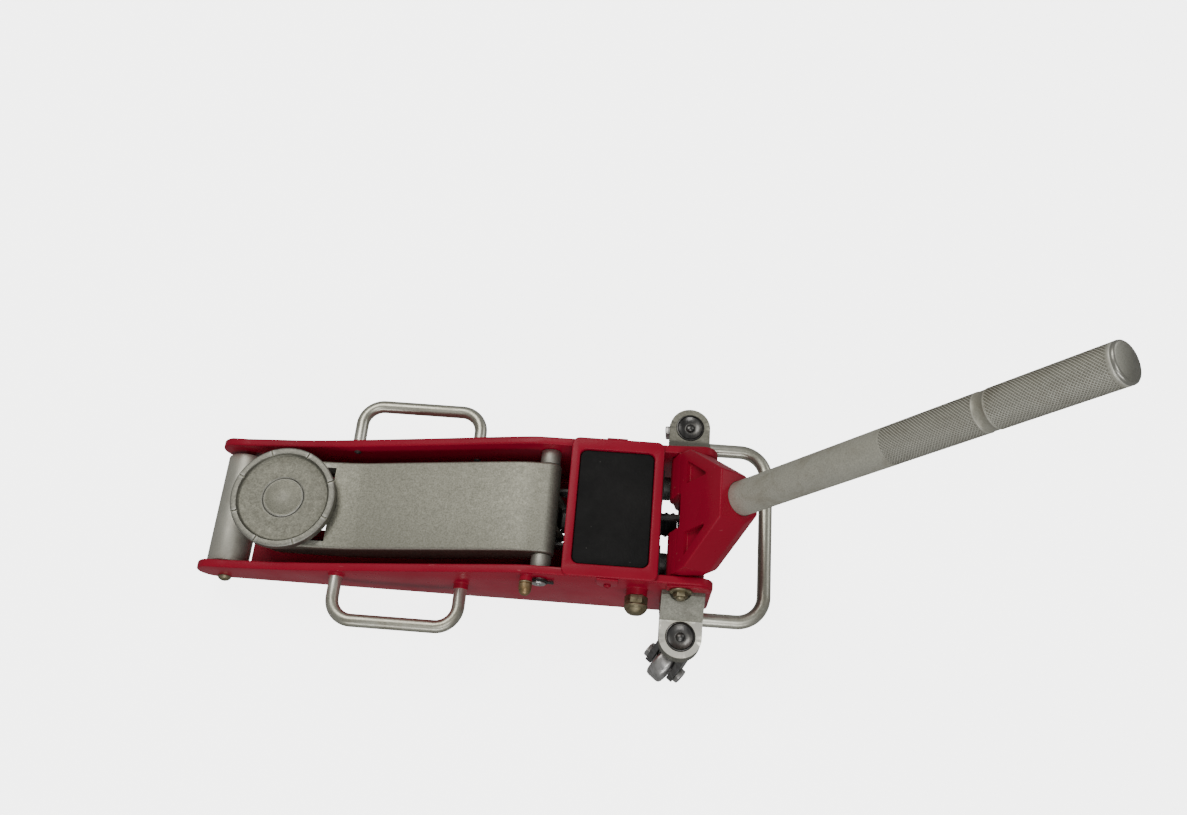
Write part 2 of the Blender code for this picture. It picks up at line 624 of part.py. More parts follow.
def saddle_set():
    """Carrier on the saddle pin, the notched saddle on its post and the centre cap."""
    front = shifted(SADDLE_PIN)
    x, z = SADDLE_PIN
    width = 28.4
    outline = (arc(front, 8.0, 190, 300, 5) + arc(SADDLE_PIN, 13.0, -40, 0, 3)
               + [(x + 15, 60), (x + 15, 64.2), (x - 15, 64.2), (x - 15, 50)])
    carrier = flat("saddle_carrier", outline, -width, width, IRON)
    soften(carrier, 0.8, 1, 50)
    cut(carrier, hole("carrier_pin_bore", xz(SADDLE_PIN, -60), xz(SADDLE_PIN, 60), SADDLE_PIN_R + FIT),
        hole("carrier_rod_bore", xz(front, -60), xz(front, 60), ROD_R + GAP, 16),
        hole("carrier_post_bore", (x, 0, 56.4), (x, 0, 80), 12.0 + FIT))
    r, top, base = SADDLE_R, SADDLE_TOP, SADDLE_BOTTOM
    profile = [(r - 5.6, top), (r - 0.8, top), (r, top - 0.8), (r, base + 2.5), (r - 2.5, base), (12.0, base),
               (12.0, 56.8), (6.0, 56.8), (6.0, top - 6.4), (CAP_R + 0.5, top - 6.4),
               (CAP_R + 0.5, top - 3.6), (r - 6.4, top - 3.6)]
    saddle = turned("saddle", profile, (x, 0, 0), (0, 0, 1), CAST, steps=24)
    notches = []
    for i in range(8):
        angle = radians(22.5 + 45 * i)
        notch = box(f"saddle_notch_{i}", (-5.5, -1.1, -1.4), (5.5, 1.1, 3.0), None, cutters)
        place = world(x + (r - 3) * cos(angle), (r - 3) * sin(angle), top)
        notch.matrix_world = Matrix.Translation(place) @ Matrix.Rotation(angle, 4, "Z")
        notches.append(notch)
    cut(saddle, *notches)
    cap = [(0.0, top - 2.9), (CAP_R - 0.8, top - 2.9), (CAP_R, top - 3.4), (CAP_R, top - 6.1),
           (5.6, top - 6.1), (5.6, 57.6), (0.0, 57.6)]
    turned("saddle_cap", cap, (x, 0, 0), (0, 0, 1), CAST, steps=20)


# --- hydraulics ---------------------------------------------------------------------
def hydraulic_unit():
    """Cast pump body with ram bore, forward ears, pump barrel and valve boss."""
    rear = shifted(PIVOT)
    body = box("hydraulic_body", (338, -50, 26), (411.5, 50, 88), IRON)
    grown = [box("valve_boss", (352, -13, 80), (396, 13, 102.5), None, cutters)]
    rooms = [box("boot_space", (385, -24, 58), (430, 24, 87.5), None, cutters)]
    for side in (-1, 1):
        label = side_name(side)
        low, high = sorted((side * 24.4, side * 27.6))
        grown.append(flat(label + "_ear", capsule(rear, 6.0, (345, 66), 10.0, 6), low, high, None, cutters))
        ends = (405, side * 37, 70), (418, side * 37, 70)
        grown.append(rod(label + "_rear_boss", *ends, 11.0, None, cutters, 20))
        low, high = sorted((side * 15.2, side * 23.4))
        rooms.append(box(label + "_spring_room", (330, low, 46), (372, high, 61), None, cutters))
        rooms.append(hole(label + "_ear_bore", xz(rear, side * 20), xz(rear, side * 30), ROD_R + GAP, 16))
        ends = (BOLT_X, side * 36, BOLT_Z), (BOLT_X, side * 60, BOLT_Z)
        rooms.append(hole(label + "_mount_bore", *ends, 6.0 + FIT))
    join(body, *grown)
    cut(body, *rooms)
    join(body, rod("pump_barrel_form", (375, 0, PLUNGER_Z), (404, 0, PLUNGER_Z), 9.0, None, cutters, 24))
    cut(body, hole("ram_bore", (325, 0, RAM_Z), (378, 0, RAM_Z), RAM_R + FIT),
        hole("gland_bore", (325, 0, RAM_Z), (345, 0, RAM_Z), 12.5 + FIT),
        hole("plunger_bore", (379.5, 0, PLUNGER_Z), (425, 0, PLUNGER_Z), 4.5 + FIT),
        hole("valve_bore", (384, 0, YOKE[1]), (410, 0, YOKE[1]), 3.5 + FIT))
    bore = RAM_R + FIT
    gland = [(12.0, 6.0), (12.5, 5.2), (12.5, -5.5), (bore, -5.5), (bore, 6.0)]
    turned("ram_gland", gland, (339.2, 0, RAM_Z), (-1, 0, 0), STEEL)


def ram():
    """Lift ram: rod inside the pump body and a flat head that pushes the heel pin."""
    length, head_depth = 50.0, 5.0
    shaft = [(0.0, 0.0), (RAM_R, 0.0), (RAM_R, -length), (0.0, -length)]
    head = [(0.0, 0.0), (10.4, 0.0), (11.4, -1.0), (11.4, -head_depth), (0.0, -head_depth)]
    turned("ram_rod", shaft, (RAM_FACE_X + head_depth + GAP, 0, RAM_Z), (-1, 0, 0), STEEL)
    turned("ram_head", head, (RAM_FACE_X, 0, RAM_Z), (-1, 0, 0), STEEL)


def pump():
    """Pump plunger with its push face and the rubber boot that slides on the barrel."""
    tip = YOKE[0] - 5.0 - 0.4
    rod_r, rod_end = 4.5, 394.5 - tip
    plunger = [(0.0, 0.0), (7.4, 0.0), (8.0, -0.6), (8.0, -4.4), (rod_r, -4.4), (rod_r, rod_end),
               (0.0, rod_end)]
    turned("pump_plunger", plunger, (tip, 0, PLUNGER_Z), (1, 0, 0), STEEL, steps=12)
    boot = [(10.2, -1.0), (11.4, -2.2), (11.4, -6.0), (10.6, -7.4), (11.6, -8.8), (11.6, -12.0),
            (10.8, -13.4), (11.9, -14.8), (11.9, -19.6), (9.5, -19.6), (9.5, -5.0), (8.3, -4.4), (8.3, -1.0)]
    turned("plunger_boot", boot, (tip, 0, PLUNGER_Z), (1, 0, 0), RUBBER, steps=14)


def mount_bolts():
    """Bolts that hold the pump body: a tall domed head left, a low one right."""
    tall = [(0.0, 16.5), (5.4, 16.0), (8.8, 13.2), (10.6, 10.6), (10.6, 8.5), (10.2, 7.7), (10.2, 0.0),
            (6.0, 0.0), (6.0, -31.5), (0.0, -31.5)]
    low = [(0.0, 5.0), (7.4, 5.0), (8.4, 4.2), (8.4, 0.0), (6.0, 0.0), (6.0, -27.2), (0.0, -27.2)]
    for side, head in ((-1, tall), (1, low)):
        seat = (BOLT_X, side * (BOLT_BOSS_Y[side] + GAP), BOLT_Z)
        turned(side_name(side) + "_pump_bolt", head, seat, (0, side, 0), ZINC, steps=12)


def return_spring(side):
    """Close-wound extension spring from the heel pin back to the pump body."""
    turns, per_turn, coil_r, wire_r = 7, 6, 3.0, 0.75
    start, end, height = 324.0, 366.0, 53.5
    y = side * SPRING_Y
    points = [(HEEL_PIN[0] + HEEL_PIN_R + 1.4, y, HEEL_PIN[1] - 3.0)]
    for i in range(turns * per_turn + 1):
        turn = 2 * pi * i / per_turn
        along = start + (end - start) * i / (turns * per_turn)
        points.append((along, y + coil_r * sin(turn), height + coil_r * cos(turn)))
    points.append((end + 4.5, y, height))
    curve = bpy.data.curves.new("spring", "CURVE")
    curve.dimensions = "3D"
    curve.bevel_depth = wire_r * MM
    curve.bevel_resolution = 0
    curve.use_fill_caps = True
    spline = curve.splines.new("POLY")
    spline.points.add(len(points) - 1)
    for point, place in zip(spline.points, points):
        point.co = (*world(*place), 1.0)
    obj = bpy.data.objects.new("spring", curve)
    bpy.context.scene.collection.objects.link(obj)
    smooth(as_mesh(obj, side_name(side) + "_return_spring", STEEL, parts))


# --- pump handle --------------------------------------------------------------------
def loft(name, rings, material=None, collection=parts):
    """A closed solid through rings of the same number of (x, y, z) points in mm."""
    bm = bmesh.new()
    layers = [[bm.verts.new(world(*point)) for point in ring] for ring in rings]
    for lower, upper in zip(layers, layers[1:]):
        for i in range(len(lower)):
            j = (i + 1) % len(lower)
            bm.faces.new((lower[i], lower[j], upper[j], upper[i]))
    bm.faces.new(list(reversed(layers[0])))
    bm.faces.new(layers[-1])
    bmesh.ops.recalc_face_normals(bm, faces=bm.faces)
    mesh = bpy.data.meshes.new(name)
    bm.to_mesh(mesh)
    bm.free()
    return add(name, mesh, material, collection)


def yoke_ring(z, front, half, shoulder, rear, rear_half):
    """Section of the yoke: square front, chamfered back."""
    return [(-front, -half, z), (-front, half, z), (shoulder, half, z), (rear, rear_half, z),
            (rear, -rear_half, z), (shoulder, -half, z)]


def handle_yoke():
    """Tapered casting that holds the handle, built upright and leaned about its pivot."""
    half = PLATE_IN - 1.2
    body = loft("handle_yoke", [yoke_ring(11, 17.0, half, 7.0, 17.0, half - 6),
                                yoke_ring(27, 19.0, half - 1.5, 7.0, 18.5, half - 8),
                                yoke_ring(78, 23.5, 21.5, 4.0, 18.5, 10.0)], RED)
    soften(body, 1.8)
    drop = (PUSH_PIN_DROP * sin(radians(HANDLE_LEAN)), -PUSH_PIN_DROP * cos(radians(HANDLE_LEAN)))
    root = [(-17, 12), (-17, 10.5), (-12.4, -4), (0, -13), (11, 2), (16, 12)]
    grown = [rod("yoke_barrel", (0, -half, 0), (0, half, 0), 14.0, None, cutters),
             flat("yoke_root", root, -half + 0.4, half - 0.4, None, cutters)]
    rooms = [box("yoke_notch", (-40, -16, -40), (40, 16, 16), None, cutters)]
    lobes, pockets = [], []
    for side in (-1, 1):
        label = side_name(side)
        low, high = sorted((side * 16.4, side * 21.4))
        lobe = capsule((0.0, 0.0), 12.0, drop, 8.2, 6)
        lobes.append(flat(label + "_push_lobe", lobe, low, high, None, cutters))
        rooms.append(hole(label + "_yoke_bolt_bore", (0, side * 40, 0), (0, side * 70, 0), 5.0 + FIT))
        corners = [(22.5, 24.5), (44.0, 24.5), (42.0, 28.5), (24.6, 54.5), (22.5, 54.5)]
        corners = [(side * y, z) for y, z in corners]
        pockets.append(flat(label + "_yoke_pocket", corners, -40, -14.5, None, cutters, "YZ"))
    bores = [hole("handle_bore", (0, 0, 38), (0, 0, 120), HANDLE_R + FIT + 0.1, 28),
             hole("link_bore", (0, 0, 5), (0, 0, 50), 8.0),
             hole("push_pin_bore", xz(drop, -30), xz(drop, 30), 5.0 + GAP)]
    join(body, *grown)
    cut(body, *rooms)
    join(body, *lobes)
    cut(body, *pockets, *bores)
    pin = cross_pin("push_pin", drop, 5.0, 21.0, 0.6)
    return [body, pin] + grown + rooms + lobes + pockets + bores


def handle_set():
    """Handle tube with its grooved band, end cap and the link to the release valve."""
    r, low, high = HANDLE_R, HANDLE_FROM, HANDLE_TO
    band = (326.5, 335.5)
    profile = [(r, high), (r, band[1]), (r - 0.4, band[1]), (r - 0.4, band[0]), (r, band[0]), (r, low),
               (r - 2.6, low), (r - 2.6, high)]
    tube = turned("handle", profile, (0, 0, 0), (0, 0, 1), TUBE, steps=24)
    cap = [(0.0, high + 3.2), (r - 1.2, high + 3.2), (r, high + 2.2), (r, high + GAP),
           (r - 2.9, high + GAP), (r - 2.9, high - 9.0), (0.0, high - 9.0)]
    end_cap = turned("handle_end_cap", cap, (0, 0, 0), (0, 0, 1), TUBE, steps=24)
    link = [(0.0, 66.0), (r - 2.9, 66.0), (r - 2.9, 44.0), (5.0, 44.0), (5.0, 8.5), (0.0, 8.5)]
    release_link = turned("release_link", link, (0, 0, 0), (0, 0, 1), STEEL, steps=12)
    return [tube, end_cap, release_link]


def lean_handle(pieces):
    """Moves pieces built about the origin onto the yoke's pivot, leaning back."""
    lean = Matrix.Translation(world(*xz(YOKE, 0))) @ Matrix.Rotation(radians(HANDLE_LEAN), 4, "Y")
    home = Matrix.Translation(world(0, 0, 0)).inverted()
    for piece in pieces:
        piece.matrix_world = lean @ home @ piece.matrix_world


def release_valve():
    """Valve stem from the pump body to a ball at the yoke's pivot."""
    ball = [(5.4 * sin(radians(a)), 5.4 * cos(radians(a))) for a in range(0, 136, 27)]
    ball[0] = (0.0, 5.4)
    profile = ball + [(3.5, -6.5), (3.5, -46.0), (0.0, -46.0)]
    turned("release_valve", profile, xz(YOKE, 0), (1, 0, 0), STEEL, steps=12)


for side in (-1, 1):
    side_plate(side)
    side_grip(side)
    caster_bracket(side)
    stem_bolt(side)
    return_spring(side)
front_axle()
front_roller()
pivot_set()
cover_set()
small_bolts()
mount_bolts()
rear_handle()
caster(-1, LEFT_TRAIL_DEG)
caster(1, RIGHT_TRAIL_DEG)
lift_arm()
levelling_gear()
saddle_set()
hydraulic_unit()
ram()
pump()
release_valve()
lean_handle(handle_yoke() + handle_set())
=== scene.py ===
"""Looks of the floor jack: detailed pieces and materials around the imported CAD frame."""

import json
from math import acos, atan2, cos, hypot, pi, radians, sin

import bmesh
import bpy
from mathutils import Matrix, Vector

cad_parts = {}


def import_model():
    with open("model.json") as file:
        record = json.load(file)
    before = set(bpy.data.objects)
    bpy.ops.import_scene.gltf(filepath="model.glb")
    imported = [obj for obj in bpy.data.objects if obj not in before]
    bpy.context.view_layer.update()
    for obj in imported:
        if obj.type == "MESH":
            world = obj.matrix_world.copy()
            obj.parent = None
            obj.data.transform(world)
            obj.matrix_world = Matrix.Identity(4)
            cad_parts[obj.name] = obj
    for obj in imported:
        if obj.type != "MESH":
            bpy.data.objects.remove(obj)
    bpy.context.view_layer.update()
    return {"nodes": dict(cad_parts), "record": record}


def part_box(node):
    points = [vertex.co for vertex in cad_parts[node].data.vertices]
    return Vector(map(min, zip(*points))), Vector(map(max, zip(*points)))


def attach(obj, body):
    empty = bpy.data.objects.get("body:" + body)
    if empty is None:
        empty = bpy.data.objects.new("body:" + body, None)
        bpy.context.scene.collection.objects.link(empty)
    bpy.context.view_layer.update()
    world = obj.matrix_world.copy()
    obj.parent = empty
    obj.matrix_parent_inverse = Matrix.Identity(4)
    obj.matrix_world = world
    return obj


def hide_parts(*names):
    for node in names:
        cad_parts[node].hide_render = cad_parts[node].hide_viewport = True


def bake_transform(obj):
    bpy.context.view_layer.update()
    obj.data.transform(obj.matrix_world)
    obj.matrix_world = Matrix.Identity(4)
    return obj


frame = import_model()
MM = 0.001
SIDES = (-1, 1)                           # left and right, the sign of y
ROLLER_LOW, ROLLER_HIGH = (Vector(corner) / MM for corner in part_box("front_roller"))
AXLE_X = ((ROLLER_LOW + ROLLER_HIGH) / 2).x


def world(x, y, z):
    """A point in mm, x measured back from the front axle, as metres in the object's frame."""
    return Vector(((AXLE_X + x) * MM, y * MM, z * MM))


# --- camera, light and floor ---------------------------------------------------------
CAMERA_AT = (45.92, -337.05, 1072.67)     # mm, in the object's frame
CAMERA_TILT, CAMERA_PAN, CAMERA_ROLL = -0.42346, 0.04080, 0.08661
LENS, SENSOR_WIDTH = 34.454, 36.0
OBJECT_CENTRE = (0.0, 0.0, 0.05)
LIGHTS = (                                # name, place, (width, height), watts, colour
    ("key", (-0.7, 0.9, 1.9), (1.2, 0.8), 20, (1.0, 0.985, 0.95)),
    ("fill", (0.1, -2.1, 1.0), (2.2, 0.45), 19, (0.98, 0.98, 1.0)),
    ("top", (0.3, -1.0, 2.1), (1.0, 0.8), 12, (1, 1, 1)),
    ("rim", (1.7, 0.9, 0.9), (0.8, 0.8), 5, (1, 1, 1)),
)
FLOOR_HALF, FLOOR_DROP = 6.0, 0.0005      # metres


def rotation(axis, angle):
    return Matrix.Rotation(angle, 3, axis)


def add_camera():
    data = bpy.data.cameras.new("camera")
    data.lens = LENS
    data.sensor_width = SENSOR_WIDTH
    data.clip_end = 50.0
    camera = bpy.data.objects.new("camera", data)
    bpy.context.scene.collection.objects.link(camera)
    view = rotation("Z", CAMERA_ROLL) @ rotation("X", CAMERA_TILT) @ rotation("Y", CAMERA_PAN)
    view = view @ Matrix.Diagonal((1.0, -1.0, -1.0))
    turn = Matrix((view[0], -view[1], -view[2])).transposed()
    camera.matrix_world = Matrix.Translation(Vector(CAMERA_AT) * MM) @ turn.to_4x4()
    bpy.context.scene.camera = camera


def add_light(name, place, size, power, colour):
    """Area light that faces the object."""
    data = bpy.data.lights.new(name, "AREA")
    data.shape = "RECTANGLE"
    data.size, data.size_y = size
    data.energy = power
    data.color = colour
    lamp = bpy.data.objects.new(name, data)
    bpy.context.scene.collection.objects.link(lamp)
    lamp.location = place
    lamp.rotation_euler = (Vector(OBJECT_CENTRE) - Vector(place)).to_track_quat("-Z", "Y").to_euler()


def add_studio():
    for light in LIGHTS:
        add_light(*light)
    world_data = bpy.data.worlds.new("studio")
    bpy.context.scene.world = world_data
    world_data.use_nodes = True
    background = world_data.node_tree.nodes["Background"]
    background.inputs["Color"].default_value = (0.93, 0.94, 0.95, 1)
    background.inputs["Strength"].default_value = 0.28


def add_floor():
    """Pale ground that shows bright but does not light the jack from below."""
    bm = bmesh.new()
    bmesh.ops.create_grid(bm, x_segments=1, y_segments=1, size=FLOOR_HALF)
    mesh = bpy.data.meshes.new("floor")
    bm.to_mesh(mesh)
    bm.free()
    floor = bpy.data.objects.new("floor", mesh)
    bpy.context.scene.collection.objects.link(floor)
    floor.location.z = -FLOOR_DROP
    material = bpy.data.materials.new("pale_floor")
    material.use_nodes = True
    shader = material.node_tree.nodes["Principled BSDF"]
    shader.inputs["Base Color"].default_value = (0.86, 0.86, 0.85, 1)
    shader.inputs["Roughness"].default_value = 0.85
    shader.inputs["Emission Color"].default_value = (1.0, 1.0, 0.995, 1)
    shader.inputs["Emission Strength"].default_value = 4.2
    mesh.materials.append(material)
    floor.visible_diffuse = floor.visible_glossy = False


# --- materials -----------------------------------------------------------------------
def tint(rgb, tone):
    """A colour made darker or lighter by one factor."""
    return tuple(c * tone for c in rgb)


class Finish:
    """Builds one procedural material: layers of noise over a Principled shader."""

    def __init__(self, name, roughness, metallic, specular=0.5):
        self.material = bpy.data.materials.new(name)
        self.material.use_nodes = True
        self.tree = self.material.node_tree
        self.shader = self.tree.nodes["Principled BSDF"]
        self.shader.inputs["Roughness"].default_value = roughness
        self.shader.inputs["Metallic"].default_value = metallic
        self.shader.inputs["Specular IOR Level"].default_value = specular
        self.coords = self.node("ShaderNodeTexCoord").outputs["Object"]

    def node(self, kind, **settings):
        made = self.tree.nodes.new(kind)
        for key, value in settings.items():
            setattr(made, key, value)
        return made

    def link(self, out, into):
        self.tree.links.new(out, into)

    def feed(self, socket, value):
        """Links a socket to an output, or sets it to a number or a colour."""
        if isinstance(value, bpy.types.NodeSocket):
            self.link(value, socket)
        else:
            socket.default_value = (*value, 1) if isinstance(value, tuple) else value

    def stretched(self, scale):
        """Object coordinates scaled per axis, for brushed or drawn grain."""
        mapping = self.node("ShaderNodeMapping")
        mapping.inputs["Scale"].default_value = scale
        self.link(self.coords, mapping.inputs["Vector"])
        return mapping.outputs["Vector"]

    def noise(self, scale, detail, rough, coords=None, distortion=0.0):
        made = self.node("ShaderNodeTexNoise")
        made.inputs["Scale"].default_value = scale
        made.inputs["Detail"].default_value = detail
        made.inputs["Roughness"].default_value = rough
        made.inputs["Distortion"].default_value = distortion
        self.link(coords or self.coords, made.inputs["Vector"])
        return made.outputs["Fac"]

    def cells(self, scale):
        """Distance from the nearest of many scattered points."""
        made = self.node("ShaderNodeTexVoronoi")
        made.inputs["Scale"].default_value = scale
        self.link(self.coords, made.inputs["Vector"])
        return made.outputs["Distance"]

    def ramp(self, value, *stops):
        """Maps a value through (position, grey) stops."""
        made = self.node("ShaderNodeValToRGB")
        for element, (place, grey) in zip(made.color_ramp.elements, stops):
            element.position = place
            element.color = (grey, grey, grey, 1)
        self.link(value, made.inputs["Fac"])
        return made.outputs["Color"]

    def patches(self, start, full, *noise, **options):
        """A noise field's patches: black up to the start value, white from the full one."""
        return self.ramp(self.noise(*noise, **options), (start, 0.0), (full, 1.0))

    def mix(self, factor, a, b):
        made = self.node("ShaderNodeMix", data_type="RGBA")
        factor_in, a_in, b_in = made.inputs[0], made.inputs[6], made.inputs[7]
        self.feed(factor_in, factor)
        self.feed(a_in, a)
        self.feed(b_in, b)
        return made.outputs[2]

    def times(self, a, b):
        made = self.node("ShaderNodeMath", operation="MULTIPLY")
        self.feed(made.inputs[0], a)
        self.feed(made.inputs[1], b)
        return made.outputs[0]

    def layer(self, base, mask, amount, colour):
        """The base with a colour laid over it where the mask is white."""
        return self.mix(self.times(mask, amount), base, colour)

    def edges(self, start, full):
        """White where the surface is a convex edge."""
        geometry = self.node("ShaderNodeNewGeometry")
        return self.ramp(geometry.outputs["Pointiness"], (start, 0.0), (full, 1.0))

    def grooves(self, deep=0.4, edge=0.485):
        """White in the bottom of grooves."""
        geometry = self.node("ShaderNodeNewGeometry")
        return self.ramp(geometry.outputs["Pointiness"], (deep, 1.0), (edge, 0.0))

    def upward(self, start=0.3, full=0.95):
        """White on surfaces that face up, where dust settles."""
        geometry = self.node("ShaderNodeNewGeometry")
        split = self.node("ShaderNodeSeparateXYZ")
        self.link(geometry.outputs["Normal"], split.inputs[0])
        return self.ramp(split.outputs["Z"], (start, 0.0), (full, 1.0))

    def bump(self, height, strength, distance, below=None):
        """A bump of the height field, on top of the bump below."""
        made = self.node("ShaderNodeBump")
        made.inputs["Strength"].default_value = strength
        made.inputs["Distance"].default_value = distance
        self.link(height, made.inputs["Height"])
        if below:
            self.link(below, made.inputs["Normal"])
        return made.outputs["Normal"]

    def done(self, colour, roughness, normal):
        """Joins the finished layers to the shader and gives the material."""
        for name, value in (("Base Color", colour), ("Roughness", roughness), ("Normal", normal)):
            self.link(value, self.shader.inputs[name])
        return self.material


def red_paint():
    """Deep red enamel: orange peel, rubbed patches, fine scratches, chipped edges."""
    deep, light, rubbed = (0.27, 0.006, 0.022), (0.335, 0.009, 0.03), (0.36, 0.012, 0.022)
    scratched, bare, dusty = (0.45, 0.16, 0.16), (0.35, 0.31, 0.28), (0.5, 0.42, 0.38)
    f = Finish("red_enamel", 0.34, 0.0, specular=0.12)
    base = f.mix(f.patches(0.3, 0.7, 9.0, 5, 0.6), deep, light)
    base = f.layer(base, f.patches(0.60, 0.78, 38.0, 8, 0.72, f.stretched((0.35, 1.0, 1.0))), 0.25, rubbed)
    scratch = f.patches(0.735, 0.77, 260.0, 2, 0.4, f.stretched((0.06, 1.0, 1.0)))
    base = f.layer(base, scratch, 0.35, scratched)
    chip = f.times(f.edges(0.53, 0.58), f.patches(0.66, 0.7, 120.0, 6, 0.7))
    base = f.layer(base, chip, 0.6, bare)
    dust = f.times(f.upward(), f.patches(0.42, 0.85, 21.0, 6, 0.65))
    base = f.layer(base, dust, 0.015, dusty)
    gloss = f.ramp(f.noise(30.0, 6, 0.6), (0.3, 0.24), (0.75, 0.40))
    peel = f.bump(f.noise(420.0, 3, 0.5), 0.22, 0.0003)
    return f.done(base, gloss, f.bump(scratch, -0.15, 0.0002, peel))


def cast_aluminium(name, tone, stain, grain, wear=0.5):
    """Shot-blasted casting: fine speckle, brownish stains, dings and brighter worn edges."""
    dull, pale, brown = (0.215, 0.211, 0.168), (0.33, 0.326, 0.265), (0.165, 0.152, 0.118)
    dinged, rubbed = (0.09, 0.08, 0.06), (0.62, 0.61, 0.56)
    f = Finish(name, 0.55, 0.82)
    base = f.mix(f.patches(0.38, 0.62, grain, 3, 0.8), tint(dull, tone), tint(pale, tone))
    base = f.layer(base, f.patches(0.5, 0.72, 70.0, 8, 0.74, distortion=0.3), stain, tint(brown, tone))
    dings = f.patches(0.68, 0.76, 150.0, 5, 0.75)
    base = f.layer(base, dings, 0.45 * stain + 0.1, dinged)
    base = f.layer(base, f.edges(0.515, 0.56), wear, rubbed)
    gloss = f.ramp(f.noise(210.0, 5, 0.7), (0.3, 0.44), (0.75, 0.6))
    pits = f.bump(f.noise(grain, 4, 0.7), 0.35, 0.0003)
    return f.done(base, gloss, f.bump(dings, -0.3, 0.0003, pits))


def satin_tube(name, tone, metal=0.9, smooth=1.0):
    """Drawn tube, lightly brushed, with yellowish hand dirt, dull patches and dirt in any grooves."""
    dull, pale, hand_dirt = (0.39, 0.38, 0.31), (0.565, 0.558, 0.465), (0.22, 0.185, 0.12)
    spotted, grime, rubbed = (0.13, 0.11, 0.08), (0.1, 0.09, 0.065), (0.85, 0.84, 0.76)
    f = Finish(name, 0.33, metal)
    drawn = f.noise(900.0, 3, 0.6)
    base = f.mix(f.ramp(drawn, (0.3, 0.0), (0.7, 1.0)), tint(dull, tone), tint(pale, tone))
    base = f.layer(base, f.patches(0.5, 0.72, 42.0, 7, 0.7, distortion=0.5), 0.55, tint(hand_dirt, tone))
    base = f.layer(base, f.patches(0.69, 0.76, 240.0, 4, 0.7), 0.5, spotted)
    base = f.mix(f.grooves(), base, tint(grime, tone))
    base = f.layer(base, f.edges(0.515, 0.58), 0.6, rubbed)
    gloss = f.ramp(f.noise(55.0, 6, 0.65), (0.3, 0.28 / smooth), (0.78, 0.46 / smooth))
    return f.done(base, gloss, f.bump(drawn, 0.12, 0.0002))


def plain_steel(name, tone, dirt=0.5):
    """Turned steel with dull bands, oil film and small rust freckles."""
    dull, pale = (0.40, 0.39, 0.37), (0.58, 0.57, 0.55)
    oily, rusty = (0.16, 0.145, 0.12), (0.17, 0.085, 0.045)
    f = Finish(name, 0.3, 0.95)
    bands = f.patches(0.35, 0.65, 300.0, 2, 0.5, f.stretched((1.0, 0.08, 1.0)))
    base = f.mix(bands, tint(dull, tone), tint(pale, tone))
    base = f.layer(base, f.patches(0.5, 0.75, 46.0, 6, 0.7), dirt, oily)
    base = f.layer(base, f.patches(0.67, 0.74, 190.0, 6, 0.75), 0.6, rusty)
    gloss = f.ramp(f.noise(70.0, 5, 0.6), (0.3, 0.22), (0.8, 0.5))
    return f.done(base, gloss, f.bump(f.noise(620.0, 3, 0.6), 0.14, 0.0002))


def yellow_zinc(name, warm=1.0):
    """Old zinc-yellow plating: olive and brown patches, and dark grimy patches."""
    olive, straw = (0.13 * warm, 0.105, 0.05 / warm), (0.24 * warm, 0.205, 0.125 / warm)
    grimy, rubbed = (0.04, 0.03, 0.015), (0.42, 0.37, 0.25)
    f = Finish(name, 0.42, 0.75)
    base = f.mix(f.patches(0.36, 0.66, 120.0, 6, 0.7, distortion=0.6), olive, straw)
    base = f.layer(base, f.patches(0.5, 0.68, 260.0, 7, 0.72), 0.75, grimy)
    base = f.layer(base, f.edges(0.515, 0.57), 0.5, rubbed)
    gloss = f.ramp(f.noise(210.0, 5, 0.65), (0.3, 0.3), (0.75, 0.62))
    return f.done(base, gloss, f.bump(f.noise(700.0, 4, 0.7), 0.3, 0.0002))


def black_rubber():
    """Moulded rubber with a pebbled skin, pale dust specks and scuffs."""
    black, faded = (0.006, 0.006, 0.006), (0.013, 0.0125, 0.0122)
    dusty, pale = (0.05, 0.047, 0.042), (0.3, 0.29, 0.27)
    f = Finish("pebbled_rubber", 0.78, 0.0, specular=0.2)
    base = f.mix(f.patches(0.35, 0.7, 24.0, 6, 0.65), black, faded)
    base = f.layer(base, f.patches(0.58, 0.78, 330.0, 7, 0.8), 0.3, dusty)
    base = f.layer(base, f.ramp(f.cells(95.0), (0.0, 1.0), (0.055, 0.0)), 0.35, pale)
    gloss = f.ramp(f.noise(50.0, 6, 0.6), (0.3, 0.62), (0.75, 0.88))
    pebbles = f.bump(f.cells(520.0), 0.55, 0.0004)
    return f.done(base, gloss, f.bump(f.noise(1400.0, 3, 0.6), 0.3, 0.0002, pebbles))


def dark_iron(name, tone):
    """Dark cast iron: grainy skin, oil sheen, brown rust bloom."""
    dark, grey, rusty = (0.055, 0.052, 0.05), (0.15, 0.145, 0.135), (0.11, 0.055, 0.03)
    f = Finish(name, 0.55, 0.55)
    base = f.mix(f.noise(160.0, 6, 0.7), tint(dark, tone), tint(grey, tone))
    base = f.layer(base, f.patches(0.56, 0.74, 58.0, 7, 0.72), 0.5, rusty)
    gloss = f.ramp(f.noise(80.0, 5, 0.6), (0.3, 0.36), (0.75, 0.7))
    return f.done(base, gloss, f.bump(f.noise(500.0, 6, 0.75), 0.5, 0.0004))


